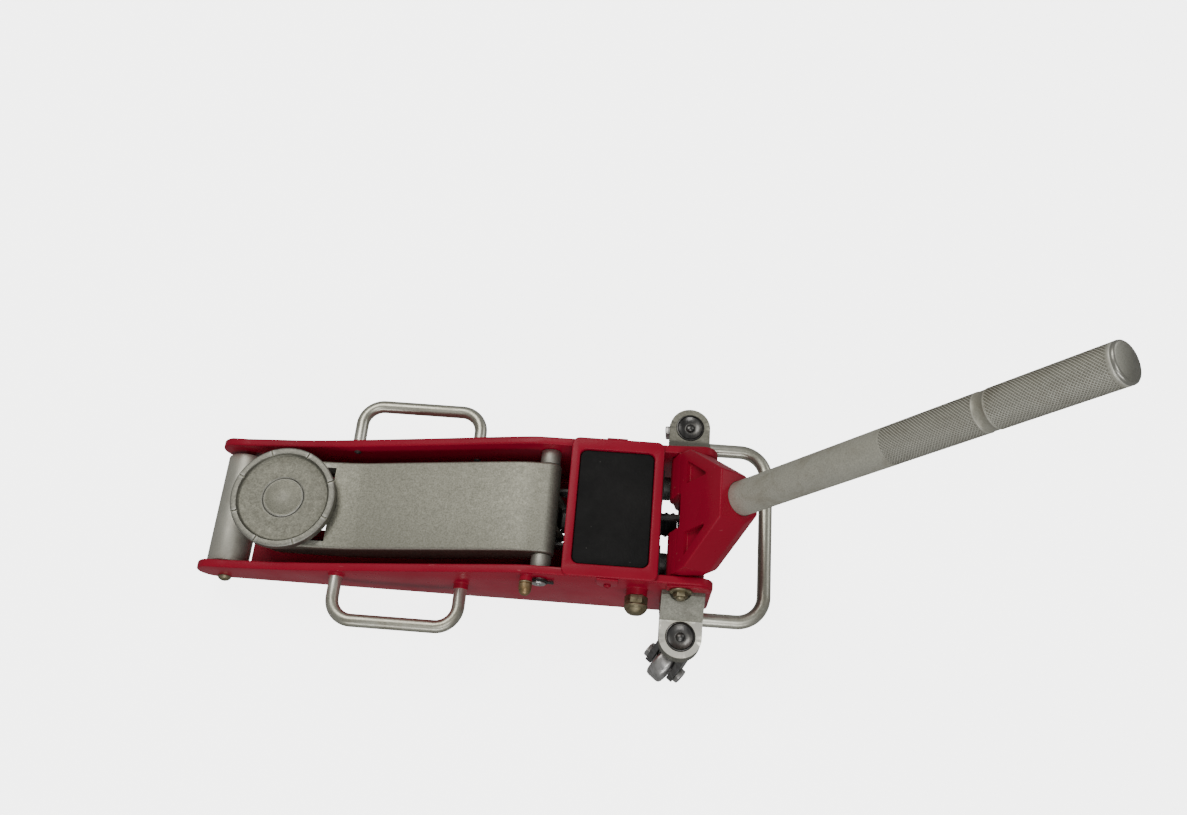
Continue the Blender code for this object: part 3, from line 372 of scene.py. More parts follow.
RED = red_paint()
CAST = cast_aluminium("cast_arm", 0.95, 0.07, 620.0)
SADDLE = cast_aluminium("cast_saddle", 0.66, 0.35, 560.0)
CAP = cast_aluminium("machined_cap", 0.76, 0.15, 1100.0)
BRACKET = cast_aluminium("cast_bracket", 0.78, 0.45, 560.0, 0.05)
# painted highlight: a brighter copy of the satin finish, laid on the left lug's top face only
LUG_FACE_HIGHLIGHT = satin_tube("lug_face_painted_highlight", 1.55, 0.6)
TUBE = satin_tube("satin_tube", 0.95, 0.85)
HANDLE = satin_tube("handle_tube", 0.93, 0.4, 0.75)
HANDLE_CAP = satin_tube("handle_plug_face", 0.36, 0.8)
ROLLER = satin_tube("roller_steel", 0.75, 0.6, 0.8)
# tone 0.45: a dark, dull steel for the pins, rods and springs inside the frame, and partly painted shade for
# the dim inside
STEEL = plain_steel("turned_steel", 0.45)
BRIGHT = plain_steel("bright_steel", 1.0, 0.4)
DISH = plain_steel("dished_steel", 0.24, 0.7)
FORK = plain_steel("fork_casting", 0.4, 0.6)
ZINC = yellow_zinc("olive_zinc_plate")
BRASS = yellow_zinc("brassy_zinc_plate", 1.35)
RUBBER = black_rubber()
IRON = dark_iron("oiled_iron", 1.0)
BLACK = dark_iron("blackened_steel", 0.35)
PUMP = dark_iron("pump_casting", 1.2)


# --- what the record says about each node ----------------------------------------------
BODY_OF = {node: body for body, nodes in frame["record"]["behaviour"]["bodies"].items() for node in nodes}


def show(obj, material, *nodes, beside=None, angle=38.0, rides=True):
    """Finishes a piece: material, shading, its body and the nodes it stands for."""
    first = nodes[0] if nodes else beside
    obj.data.materials.clear()
    obj.data.materials.append(material)
    obj.data.shade_smooth()
    obj.data.set_sharp_from_angle(angle=radians(angle))
    if rides:
        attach(obj, BODY_OF[first])
    if nodes:
        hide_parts(*nodes)
    return obj


# --- making shapes ---------------------------------------------------------------------
def as_object(name, bm):
    """A new object from a bmesh, with its faces turned outward."""
    bmesh.ops.recalc_face_normals(bm, faces=bm.faces)
    mesh = bpy.data.meshes.new(name)
    bm.to_mesh(mesh)
    bm.free()
    obj = bpy.data.objects.new(name, mesh)
    bpy.context.scene.collection.objects.link(obj)
    return obj


def lathe(name, profile, base, axis, steps=64):
    """Turned solid from (radius, height) points down its outside; base is at height 0."""
    turn = Vector(axis).to_track_quat("Z", "Y").to_matrix()
    origin = world(*base)
    angles = [2 * pi * i / steps for i in range(steps)]
    bm = bmesh.new()
    rings = []
    for r, h in profile:
        spots = [(r * cos(a), r * sin(a), h) for a in angles] if r > 0 else [(0, 0, h)]
        rings.append([bm.verts.new(origin + turn @ (Vector(s) * MM)) for s in spots])
    pairs = list(zip(rings, rings[1:]))
    if profile[0][0] > 0:
        pairs.append((rings[-1], rings[0]))
    for a, b in pairs:
        for i in range(steps):
            j = (i + 1) % steps
            corners = (a[i % len(a)], a[j % len(a)], b[j % len(b)], b[i % len(b)])
            corners = list(dict.fromkeys(corners))
            if len(corners) > 2:
                bm.faces.new(corners)
    return as_object(name, bm)


def prism(name, outline, low, high, plane="XZ"):
    """Flat outline carried from low to high along the third axis."""
    order = {"XZ": lambda u, v, w: (u, w, v), "YZ": lambda u, v, w: (w, u, v),
             "XY": lambda u, v, w: (u, v, w)}[plane]
    low, high = sorted((low, high))
    bm = bmesh.new()
    lower = [bm.verts.new(world(*order(u, v, low))) for u, v in outline]
    upper = [bm.verts.new(world(*order(u, v, high))) for u, v in outline]
    bm.faces.new(lower)
    bm.faces.new(upper)
    for i in range(len(outline)):
        j = (i + 1) % len(outline)
        bm.faces.new((lower[i], lower[j], upper[j], upper[i]))
    return as_object(name, bm)


def block(name, low, high):
    """Box between two corners."""
    (x0, y0, z0), (x1, y1, z1) = low, high
    return prism(name, [(x0, y0), (x1, y0), (x1, y1), (x0, y1)], z0, z1, "XY")


def rod(name, start, end, radius, steps=48):
    """Plain cylinder between two points."""
    a, b = Vector(start), Vector(end)
    profile = [(0, (b - a).length), (radius, (b - a).length), (radius, 0), (0, 0)]
    return lathe(name, profile, start, b - a, steps)


def sweep(name, path, radius, sides=28):
    """Round bar along a path of points, with flat ends."""
    path = [Vector(p) for p in path]
    heads = [(b - a).normalized() for a, b in zip(path, path[1:])]
    heads = [heads[0]] + [(a + b).normalized() for a, b in zip(heads, heads[1:])] + [heads[-1]]
    side = heads[0].orthogonal().normalized()
    bm = bmesh.new()
    rings = []
    for point, head in zip(path, heads):
        side = (side - head * side.dot(head)).normalized()
        other = head.cross(side)
        rings.append([bm.verts.new(world(*(point + (side * cos(a) + other * sin(a)) * radius)))
                      for a in (2 * pi * i / sides for i in range(sides))])
    for a, b in zip(rings, rings[1:]):
        for i in range(sides):
            j = (i + 1) % sides
            bm.faces.new((a[i], a[j], b[j], b[i]))
    bm.faces.new(rings[0])
    bm.faces.new(rings[-1])
    return as_object(name, bm)


def loft(name, rings):
    """Solid through rings of points, closed at both ends."""
    bm = bmesh.new()
    layers = [[bm.verts.new(world(*point)) for point in ring] for ring in rings]
    for a, b in zip(layers, layers[1:]):
        for i in range(len(a)):
            j = (i + 1) % len(a)
            bm.faces.new((a[i], a[j], b[j], b[i]))
    bm.faces.new(layers[0])
    bm.faces.new(layers[-1])
    return as_object(name, bm)


def apply(obj):
    """Turns an object's modifiers into its mesh."""
    bpy.context.view_layer.update()
    graph = bpy.context.evaluated_depsgraph_get()
    mesh = bpy.data.meshes.new_from_object(obj.evaluated_get(graph))
    obj.modifiers.clear()
    obj.data = mesh
    return obj


def ease(obj, width, segments=3, angle=30.0):
    """Rounds the edges sharper than the angle."""
    mod = obj.modifiers.new("ease", "BEVEL")
    mod.width = width * MM
    mod.segments = segments
    mod.limit_method = "ANGLE"
    mod.angle_limit = radians(angle)
    return apply(obj)


def solids(obj, tools, operation):
    """Applies booleans with the tools, which are used up."""
    for tool in tools:
        mod = obj.modifiers.new(tool.name, "BOOLEAN")
        mod.operation = operation
        mod.solver = "EXACT"
        mod.object = tool
    apply(obj)
    for tool in tools:
        bpy.data.objects.remove(tool, do_unlink=True)
    return obj


def cut(obj, *tools):
    return solids(obj, tools, "DIFFERENCE")


def fuse(obj, *tools):
    return solids(obj, tools, "UNION")


def gather(obj, *others):
    """Puts closed shells that touch or overlap into one piece."""
    bm = bmesh.new()
    for source in (obj, *others):
        bm.from_mesh(source.data)
    bm.to_mesh(obj.data)
    bm.free()
    for other in others:
        bpy.data.objects.remove(other, do_unlink=True)
    return obj


def move(matrix, obj):
    obj.data.transform(matrix)
    return obj


def arc(centre, radius, start, end, steps):
    """Points from one angle to another, in degrees."""
    return [(centre[0] + radius * cos(radians(start + (end - start) * i / steps)),
             centre[1] + radius * sin(radians(start + (end - start) * i / steps)))
            for i in range(steps + 1)]


def capsule(a, ra, b, rb, steps=20):
    """Outline round two circles joined by their outer tangents."""
    dx, dz = b[0] - a[0], b[1] - a[1]
    along = atan2(dz, dx) * 180 / pi
    lean = acos((ra - rb) / hypot(dx, dz)) * 180 / pi
    return (arc(a, ra, along + lean, along + 360 - lean, steps)
            + arc(b, rb, along - lean, along + lean, steps))


def rounded_rectangle(low, high, radius, steps=10):
    (x0, y0), (x1, y1) = low, high
    corners = (((x1 - radius, y1 - radius), 0), ((x0 + radius, y1 - radius), 90),
               ((x0 + radius, y0 + radius), 180), ((x1 - radius, y0 + radius), 270))
    return [p for centre, start in corners for p in arc(centre, radius, start, start + 90, steps)]


def rounded_path(points, corner, steps=12):
    """Points of a path whose inner corners are arcs of the given radius."""
    points = [Vector(p) for p in points]
    path = [points[0]]
    for before, at, after in zip(points, points[1:], points[2:]):
        back, ahead = (before - at).normalized(), (after - at).normalized()
        half = back.angle(ahead) / 2
        centre = at + (back + ahead).normalized() * (corner / sin(half))
        first = at + back * (corner / (sin(half) / cos(half))) - centre
        last = at + ahead * (corner / (sin(half) / cos(half))) - centre
        turn = first.angle(last)
        for i in range(steps + 1):
            t = i / steps
            path.append(centre + (first * sin((1 - t) * turn) + last * sin(t * turn)) / sin(turn))
    return path + [points[-1]]


def smooth_line(points, steps=4):
    """Catmull-Rom curve through (x, z) points."""
    spread = [points[0]] + list(points) + [points[-1]]
    line = []
    for a, b, c, d in zip(spread, spread[1:], spread[2:], spread[3:]):
        for i in range(steps):
            t = i / steps
            line.append(tuple(0.5 * (2 * q + (r - p) * t + (2 * p - 5 * q + 4 * r - s) * t * t
                                     + (3 * q - p - 3 * r + s) * t ** 3) for p, q, r, s in zip(a, b, c, d)))
    return line + [tuple(points[-1])]


def mirrored(profile):
    """The other half of a turned profile, in running order."""
    return [(r, -h) for r, h in reversed(profile)]


def side_name(side):
    return "left" if side < 0 else "right"


def xz(point, y):
    """The 3-D point at y above or below an (x, z) pair."""
    return (point[0], y, point[1])


def about(place, turn):
    """The matrix that turns a piece modelled at the origin and carries it to its place."""
    return Matrix.Translation(world(*place)) @ turn @ Matrix.Translation(-world(0, 0, 0))


def hexagon(name, base, axis, across, low, high, chamfer=0.7):
    """Hexagon head with a chamfered top face, from low to high along the axis."""
    corner, flat, beyond = across / 2 / cos(pi / 6), across / 2, 0.4
    head = lathe(name, [(0, high), (corner, high), (corner, low), (0, low)], base, axis, 6)
    above, below = high + 0.01, low - 0.01
    crown = [(0, above), (flat - beyond, above), (corner + beyond, high - chamfer - beyond),
             (corner + beyond, below), (0, below)]
    head = solids(head, [lathe(name + "_crown", crown, base, axis, 48)], "INTERSECT")
    return ease(head, 0.25, 2, 25)


def ring(name, base, axis, inner, outer, low, high, steps=64, round_off=0.3):
    """Flat washer or collar with rounded rims."""
    profile = [(outer, high), (outer, low), (inner, low), (inner, high)]
    return ease(lathe(name, profile, base, axis, steps), round_off, 2)


# --- where the parts sit, in mm: (x, z) pairs, and y measured outward ----------------------
PLATE_OUT, PLATE_IN, PLATE_TOP, FLANGE_IN = 65.0, 57.5, 110.0, 12.05
PIVOT, PIN, HEEL = (305.2, 90.5), (57.6, 48.0), (312.3, 57.2)
YOKE, BOLT, STUD, SCREW = (431.0, 95.5), (392.5, 82.0), (294.5, 100.7), (366.0, 96.0)
TAIL = (445.0, 96.0)                      # centre of the plates' rounded rear corner
STEM = (433.9, 101.2)                     # x and y of the caster stems
PLUNGER_Z = 75.0
ROLLER_R, ROLLER_HALF = 19.5, 54.0
WHEEL_R, WHEEL_TRAIL, WHEEL_HALF = 18.0, 17.0, 8.2
CASTER_HEADING = {-1: -128.5, 1: 95.5}    # degrees
HANDLE_LEAN = radians(35.0)
HANDLE_R, HANDLE_LOW, HANDLE_HIGH = 14.97, 40.0, 429.0
YOKE_SEAT, STUD_SEAT, SCREW_SEAT = 66.9, 70.8, 67.5
BOLT_SEAT = {-1: 71.8, 1: 67.5}
GRIP_X, GRIP_Y, GRIP_Z = (115.6, 231.7), 106.4, 56.0


def link_end(point):
    """The levelling rod's pin that belongs to a pivot of the arm."""
    return (point[0] - 9.6, point[1] - 19.8)


# --- side plates and their fittings ----------------------------------------------------
def plate_outline():
    """Side view of a plate: round nose, rising top edge, round tail and foot."""
    nose = arc((-3.0, 33.0), 19.0, 250, 112, 26)
    rise = smooth_line([(6, 51.0), (30, 54.0), (60, 57.5), (90, 63.0), (120, 69.5), (180, 83.5), (240, 98.0),
                        (285, 108.5), (300, PLATE_TOP)], 4)
    tail = arc(TAIL, 14.0, 90, 0, 12)
    foot = arc((449.0, 36.0), 10.0, 0, -70, 9)
    return nose + rise + tail + foot + [(420, 14), (10, 14)]


def boss(name, side, at, reach, radius):
    """Round boss with a small root fillet and an eased rim."""
    out, foot = PLATE_OUT, radius + 1.1
    rim = [(0, reach), (radius - 0.7, reach), (radius - 0.2, reach - 0.2), (radius, reach - 0.7)]
    root = [(radius, out + 1.2), (radius + 0.35, out + 0.5), (foot, out + 0.05), (foot, out - 2)]
    return lathe(name, rim + root + [(0, out - 2)], xz(at, 0), (0, side, 0), 56)


def side_plate(side):
    """Side plate with its bottom flange, the fillet between them, the rear pad and its bosses."""
    label = side_name(side)
    web = ease(prism("web", plate_outline(), side * PLATE_IN, side * PLATE_OUT), 1.5, 4, 40)
    flange = [(21.5, 14.05), (21.5, 19), (412, 19), (412, 14.05)]
    flange = ease(prism("flange", flange, side * FLANGE_IN, side * (PLATE_IN + 3)), 1.4, 3, 40)
    root = [(PLATE_IN + 1, 24)] + arc((53.5, 23.0), 4.0, 0, -90, 8) + [(PLATE_IN + 1, 17)]
    fillet = prism("fillet", [(side * y, z) for y, z in root], 22.0, 411.5, "YZ")
    pad = [(418, 91.5), (418, 106)] + arc(TAIL, 12.5, 90, 0, 12) + [(457.4, 91.5)]
    pad = ease(prism("pad", pad, side * (PLATE_OUT - 1), side * 66.6), 0.9, 3, 40)
    bosses = [boss("grip_rear", side, (GRIP_X[1], GRIP_Z), 70.5, 6.8),
              boss("grip_front", side, (GRIP_X[0], GRIP_Z), 67.2, 7.6),
              boss("bolt", side, BOLT, BOLT_SEAT[side] - 0.3, 9.5)]
    if side < 0:
        bosses.append(boss("stud", side, STUD, STUD_SEAT - 0.3, 5.6))
    plate = gather(web, flange, fillet, pad, *bosses)
    plate.name = label + "_plate"
    show(plate, RED, label + "_side_plate")


def side_grip(side):
    """D-shaped side handle and the ends of its screws inside the plate."""
    label = side_name(side)
    (front, rear), reach = GRIP_X, side * GRIP_Y
    path = [(front, side * 67.0, GRIP_Z), (front, reach, GRIP_Z),
            (rear, reach, GRIP_Z), (rear, side * 70.3, GRIP_Z)]
    grip = sweep(label + "_grip", rounded_path(path, 20.0), 5.97, 36)
    show(grip, TUBE, label + "_side_handle")
    for index, x in enumerate(GRIP_X):
        end = [(0, 55.6), (1.5, 55.6), (1.9, 56.2), (2.6, 56.1), (3.3, 56.5), (3.4, 59.0), (0, 59.0)]
        end = lathe(f"{label}_grip_screw_end_{index}", end, (x, 0, GRIP_Z), (0, side, 0), 36)
        show(end, IRON, beside=label + "_side_handle")


def rear_handle():
    """U-shaped bar between the caster brackets."""
    front, rear, half, z = 427.9, 508.0, 82.6, 61.5
    path = [(front, -half, z), (rear, -half, z), (rear, half, z), (front, half, z)]
    show(sweep("rear_loop", rounded_path(path, 25.0, 16), 6.32, 36), TUBE, "rear_handle")


def axle():
    """Front axle bolt with a domed head, its cap nut and the roller."""
    r, h, seat, length = ROLLER_R, ROLLER_HALF, PLATE_OUT + 0.3, 133
    head = [(0, 4.2), (2.2, 4.05), (4.0, 3.4), (5.4, 2.3), (6.2, 0.9), (6.3, 0)]
    bolt = lathe("axle_bolt", head + [(5.0, 0), (5.0, -length), (0, -length)], (0, -seat, r), (0, -1, 0), 40)
    show(bolt, ZINC, "front_axle")
    nut = hexagon("axle_cap_nut", (0, 0, r), (0, 1, 0), 13.0, seat, PLATE_OUT + 5.2)
    show(nut, ZINC, "front_axle_nut", angle=30)
    half = [(5.4, h - 1.0), (8.0, h - 1.0), (9.0, h), (r - 1.6, h), (r - 0.5, h - 0.4), (r - 0.05, h - 1.6)]
    show(lathe("roller", half + mirrored(half), (0, 0, r), (0, 1, 0), 128), ROLLER, "front_roller")


def pivot():
    """Lift pivot with its centred, grooved ends, and on each side a collar and a retaining ring."""
    r, half, groove = 6.5, PLATE_OUT + 4.5, PLATE_OUT + 1.4
    end = [(0, half - 1.0), (1.6, half - 0.7), (2.0, half), (r - 0.7, half), (r, half - 0.7),
           (r, groove + 1.7), (r - 1.2, groove + 1.7), (r - 1.2, groove - 0.3), (r, groove - 0.3)]
    show(lathe("pivot_pin", end + mirrored(end), xz(PIVOT, 0), (0, 1, 0), 56), BRIGHT, "lift_pivot_shaft")
    for side in SIDES:
        label = side_name(side)
        collar = ring(label + "_collar", xz(PIVOT, 0), (0, side, 0), 6.85, 9.2, 43.5, 57.0, 56, 0.6)
        show(collar, CAST, label + "_pivot_collar")
        clip = retaining_ring(label, side * (groove + 0.1), side * (groove + 1.3))
        show(clip, BLACK, label + "_pivot_circlip")


def retaining_ring(label, low, high):
    """Open spring ring whose two eyes point to the rear."""
    x, z = PIVOT
    lower_eye = [(x + 12.4, z - 3.6), (x + 13.3, z - 3.0), (x + 13.4, z - 1.2), (x + 13.0, z - 1.0)]
    upper_eye = [(px, 2 * z - pz) for px, pz in reversed(lower_eye)]
    outline = arc(PIVOT, 8.7, 20, 340, 40) + lower_eye + arc(PIVOT, 5.9, 350, 10, 32) + upper_eye
    clip = prism(label + "_retaining_ring", outline, low, high)
    holes = [rod("eye", (x + 11.4, low * 0.9, z + way * 2.3), (x + 11.4, high * 1.1, z + way * 2.3), 0.7, 16)
             for way in SIDES]
    return ease(cut(clip, *holes), 0.2, 2, 40)


def yoke_bolt(side):
    """Pivot bolt of the yoke: a nut on its washer on the left, a low round head on the right."""
    axis, seat = (0, side, 0), YOKE_SEAT
    if side < 0:
        washer = ring("washer", xz(YOKE, 0), axis, 3.0, 10.2, seat, seat + 1.9)
        nut = hexagon("head", xz(YOKE, 0), axis, 11.6, seat + 1.8, seat + 6.4)
        stub = [(0, seat + 8.4), (3.2, seat + 8.4), (4.0, seat + 7.7), (4.0, seat + 6), (0, seat + 6)]
        head = gather(nut, washer, lathe("stub", stub, xz(YOKE, 0), axis, 36))
    else:
        dome = [(0, 0.9), (2.6, 0.9), (3.0, 1.5), (5.6, 1.45), (6.6, 1.15), (7.15, 0.5), (7.2, 0), (0, 0)]
        head = lathe("head", dome, xz(YOKE, seat), axis, 48)
    bolt = gather(head, rod("shank", xz(YOKE, side * (seat - 22)), xz(YOKE, side * (seat + 1)), 5.0))
    bolt.name = side_name(side) + "_yoke_pivot_bolt"
    show(bolt, ZINC, side_name(side) + "_yoke_bolt", angle=28)


def pump_bolt(side):
    """Bolt that carries the pump: a tall domed nut on the left, a low hexagon on the right."""
    axis, base = (0, side, 0), BOLT_SEAT[side]
    if side < 0:
        nut = hexagon("nut", xz(BOLT, 0), axis, 18.0, base, base + 7.7, 0.9)
        dome = [(0, 16.5), (3.0, 16.45), (5.4, 15.9), (7.4, 14.7), (8.9, 13.1), (10.0, 11.5), (10.55, 10.2),
                (10.6, 8.6), (10.1, 7.8), (8.4, 7.5), (0, 7.5)]
        head, inner = gather(nut, lathe("dome", dome, xz(BOLT, side * base), axis, 56)), 31.5
    else:
        washer = ring("washer", xz(BOLT, 0), axis, 3.0, 8.4, base, base + 1.4, 48)
        head, inner = gather(hexagon("head", xz(BOLT, 0), axis, 13.4, base + 1.3, base + 5.0), washer), 27.2
    bolt = gather(head, rod("shank", xz(BOLT, side * (base - inner)), xz(BOLT, side * (base + 1)), 6.0))
    bolt.name = side_name(side) + "_pump_mount_bolt"
    show(bolt, ZINC, side_name(side) + "_pump_bolt", angle=28)


def stud():
    """Domed brassy stud beside the lift pivot, on the left plate only."""
    dome = [(0, 12.4), (1.4, 12.3), (2.6, 11.9), (3.7, 11.1), (4.5, 10.1), (5.1, 8.8), (5.6, 7.0)]
    collar = [(5.85, 4.8), (5.9, 2.3), (5.3, 2.0), (5.3, 1.4), (5.9, 1.2), (5.9, 0.2), (5.6, 0)]
    shank = [(3.5, 0), (3.5, -13), (0, -13)]
    made = lathe("left_domed_stud", dome + collar + shank, xz(STUD, -STUD_SEAT), (0, -1, 0), 48)
    show(made, BRASS, "left_stud")


# --- cover and pad ---------------------------------------------------------------------
def cover():
    """Tray with two screw tabs, its rubber pad and the cross-slotted screws."""
    front, rear, half, pad_bottom = 325.0, 409.5, 65.4, 107.0
    rim = prism("tray", rounded_rectangle((front, -half), (rear, half), 7.0), 110.3, 113.95, "XY")
    recess = prism("recess", rounded_rectangle((333.0, -54.0), (401.0, 54.0), 6.5), pad_bottom, 120, "XY")
    pan = block("pan", (front + 5, -56.5, 104), (rear - 4, 56.5, 112))
    tray = ease(cut(fuse(rim, pan), recess), 1.5, 4, 40)
    tabs = []
    for side in SIDES:
        x, r = SCREW[0], 9.5
        outline = [(x - r, 112), (x - r, 99)] + arc((x, 99.0), r, 180, 360, 24) + [(x + r, 112)]
        tabs.append(ease(prism("tab", outline, side * 65.3, side * 67.2), 0.6, 3, 40))
    tray = gather(tray, *tabs)
    tray.name = "cover_tray"
    show(tray, RED, "cover")
    pad = rounded_rectangle((333.5, -53.5), (400.5, 53.5), 6.2)
    pad = prism("rubber_pad", pad, pad_bottom + 0.4, 111.55, "XY")
    show(ease(pad, 1.1, 4, 40), RUBBER, "cover_pad")
    for side in SIDES:
        head = [(0, 2.0), (1.4, 1.95), (2.6, 1.5), (3.4, 0.7), (3.6, 0), (2.2, 0), (2.2, -1.6), (0, -1.6)]
        head = lathe(side_name(side) + "_tray_screw", head, xz(SCREW, side * SCREW_SEAT), (0, side, 0), 36)
        low, high = sorted((side * (SCREW_SEAT - 0.1), side * (SCREW_SEAT + 2.4)))
        (x, z), long, short = SCREW, 2.0, 0.35
        slots = [block("slot", (x - wide, low, z - tall), (x + wide, high, z + tall))
                 for wide, tall in ((long, short), (short, long))]
        show(cut(head, *slots), RED, side_name(side) + "_cover_screw", angle=30)


# --- casters ---------------------------------------------------------------------------
LUG_TOP, LUG_BOTTOM, LUG_R = 69.0, 52.0, 19.3


def caster_bracket(side):
    """Cast bracket with a round lug, and the dished swivel bolt and nut in it."""
    label = side_name(side)
    x, y = STEM[0], side * STEM[1]
    section = [(65.3, 40), (65.3, 89.95), (69.3, 89.95), (85.0, 70.2), (87.2, LUG_TOP), (STEM[1], LUG_TOP),
               (STEM[1], LUG_BOTTOM), (79, LUG_BOTTOM), (73, 40)]
    body = prism(label + "_bracket", [(side * out, z) for out, z in section], x - LUG_R, x + LUG_R, "YZ")
    body = fuse(body, rod("lug", (x, y, LUG_BOTTOM), (x, y, LUG_TOP), LUG_R, 96))
    body = ease(body, 1.4, 4, 35)
    dish = [(0, 80), (13.6, 80), (13.6, LUG_TOP - 0.4), (13.3, LUG_TOP - 2.2), (0, LUG_TOP - 2.2)]
    tools = [lathe("dish", dish, (x, y, 0), (0, 0, 1), 72),
             rod("relief", xz(YOKE, side * 66.5), xz(YOKE, side * 90), 11.0, 64)]
    body = show(cut(body, *tools), BRACKET, label + "_caster_bracket")
    if side < 0:                          # the left lug's top face gets a brighter, smoother finish: a painted highlight
        body.data.materials.append(LUG_FACE_HIGHLIGHT)
        for face in body.data.polygons:
            face.material_index = int(face.normal.z > 0.98 and abs(face.center.z - LUG_TOP * MM) < 0.5 * MM)
    head = [(0, 2.85), (1.5, 2.7), (2.9, 2.1), (4.0, 1.0), (4.3, 0.3), (5.0, 0.2), (6.8, 0.5), (8.8, 1.1)]
    rim = [(10.4, 1.9), (11.2, 2.3), (11.7, 1.2), (12.1, 1.1), (12.4, 2.6), (12.9, 2.5), (13.0, 1.6)]
    shank = [(13.0, 0), (5.0, 0), (5.0, -23.8), (0, -23.8)]
    bolt = lathe(label + "_swivel_bolt", head + rim + shank, (x, y, LUG_TOP - 1.9), (0, 0, 1), 72)
    nut = hexagon("nut", (x, y, 0), (0, 0, 1), 13.0, 38.2, 43.2)
    show(gather(bolt, nut), DISH, label + "_stem_bolt", angle=32)


def caster(side):
    """Fork, wheel and axle bolt, modelled at the origin, then turned and carried to the stem."""
    label = side_name(side)
    place = about((STEM[0], side * STEM[1], 0), Matrix.Rotation(radians(CASTER_HEADING[side]), 4, "Z"))
    r, h, trail, top, bottom = WHEEL_R, WHEEL_HALF, WHEEL_TRAIL, LUG_BOTTOM - 0.3, 43.5
    fork = rod(label + "_fork", (0, 0, bottom), (0, 0, top), 13.0, 72)
    spread = prism("spread", rounded_rectangle((-9, -15.5), (13, 15.5), 4.0), bottom, top - 0.6, "XY")
    legs = [prism("leg", capsule((3.0, 44.0), 7.5, (trail, r), 9.5), way * 10.0, way * 15.5) for way in SIDES]
    trim = block("trim", (-30, -30, top), (40, 30, top + 20))
    fork = ease(cut(fuse(fork, spread, *legs), trim), 1.1, 3, 38)
    show(move(place, fork), FORK, label + "_caster_fork")
    half = [(4.35, h), (6.8, h), (7.5, h - 1.2), (10.0, h - 1.2), (11.0, h), (r - 4.2, h),
            (r - 2.4, h - 0.35), (r - 1.0, h - 1.2), (r - 0.25, h - 2.6), (r, h - 4.2)]
    wheel = lathe(label + "_wheel", half + mirrored(half), (trail, 0, r), (0, 1, 0), 96)
    show(move(place, wheel), BRIGHT, label + "_caster_wheel")
    seat = 15.8
    bolt = gather(rod("pin", (trail, -seat, r), (trail, seat, r), 4.0, 32),
                  hexagon("head", (trail, 0, r), (0, 1, 0), 12.6, seat, seat + 4.4),
                  hexagon("nut", (trail, 0, r), (0, -1, 0), 12.6, seat, seat + 4.4))
    bolt.name = label + "_wheel_bolt"
    show(move(place, bolt), BRIGHT, label + "_caster_axle", angle=28)


# --- lift arm and saddle ---------------------------------------------------------------
ARM_HALF, ARM_WALL = 43.0, 6.5


def arm():
    """Lift arm, hollow from below, with its ram lugs and the pins it carries."""
    nose = arc(PIN, 12.0, 268, 96, 26)
    top = smooth_line([(62, 60.0), (80, 62.2), (104, 63.6), (122, 65.6), (140, 69.2), (198, 82.6),
                       (262, 97.2), (284, 101.0), (297, 101.5)], 4)
    barrel = arc(PIVOT, 11.0, 90, -100, 26)
    under = [(262, 68.0), (200, 50.0), (125, 37.0)]
    body = ease(prism("arm_casting", nose + top + barrel + under, -ARM_HALF, ARM_HALF), 2.4, 5, 40)
    inner = ARM_HALF - ARM_WALL
    ceiling = smooth_line([(100, 57.8), (122, 59.6), (140, 63.2), (198, 76.6), (262, 91.0), (284, 94.8)], 3)
    hollow = [(20, 0), (20, 120), (100, 120)] + ceiling + arc(PIVOT, 10.7, 165, 275, 12)
    hollow += [(345, 79.5), (345, 0)]
    body = cut(body, prism("hollow", hollow, -inner, inner))
    lugs = [prism("lug", capsule(PIVOT, 10.8, HEEL, 10.5), side * 12.8, side * 16.6) for side in SIDES]
    show(gather(body, *[ease(lug, 0.8, 3, 40) for lug in lugs]), CAST, "lift_arm")
    for name, at, r, h, metal, node in (("saddle_cross_pin", PIN, 6.2, 42.4, BRIGHT, "saddle_pin"),
                                        ("heel_cross_pin", HEEL, 6.0, 22.0, STEEL, "heel_pin")):
        end = [(0, h), (r - 0.8, h), (r, h - 0.8)]
        show(lathe(name, end + mirrored(end), xz(at, 0), (0, 1, 0), 48), metal, node)


def saddle():
    """Saddle with a raised, notched rim, and the cap over its stem."""
    r, top, base = 48.8, 76.0, 64.9
    x, notches = PIN[0], 8
    rim = [(r - 5.4, top - 0.1), (r - 4.9, top), (r - 1.6, top), (r - 0.6, top - 0.3), (r - 0.1, top - 1.0),
           (r, top - 2.0)]
    under = [(r, base + 3.4), (r - 0.5, base + 1.6), (r - 1.6, base + 0.5), (r - 3.2, base), (13.0, base)]
    stem = [(12.0, base - 0.6), (12.0, 57.2), (11.4, 56.8), (6.0, 56.8), (6.0, top - 6.4), (19.3, top - 6.4)]
    dish = [(19.3, top - 3.9), (19.9, top - 3.4), (20.8, top - 3.35), (30, top - 3.5), (r - 8.2, top - 3.6),
            (r - 7.2, top - 3.3), (r - 6.5, top - 2.6), (r - 6.1, top - 1.0)]
    body = lathe("saddle_disc", rim + under + stem + dish, (x, 0, 0), (0, 0, 1), 160)
    cuts = []
    for i in range(notches):
        notch = block("notch", (r - 8.6, -0.85, top - 1.15), (r + 2, 0.85, top + 3))
        heading = Matrix.Rotation(2 * pi * (i + 0.5) / notches, 4, "Z")
        cuts.append(move(about((x, 0, 0), heading), notch))
    show(cut(body, *cuts), SADDLE, "saddle")
    cap = [(0, top - 2.9), (16.2, top - 2.9), (17.0, top - 3.15), (17.6, top - 2.95), (18.3, top - 3.05),
           (18.75, top - 3.5), (18.75, top - 6.1), (5.6, top - 6.1), (5.6, 57.6), (0, 57.6)]
    show(lathe("saddle_centre", cap, (x, 0, 0), (0, 0, 1), 96), CAP, "saddle_cap")


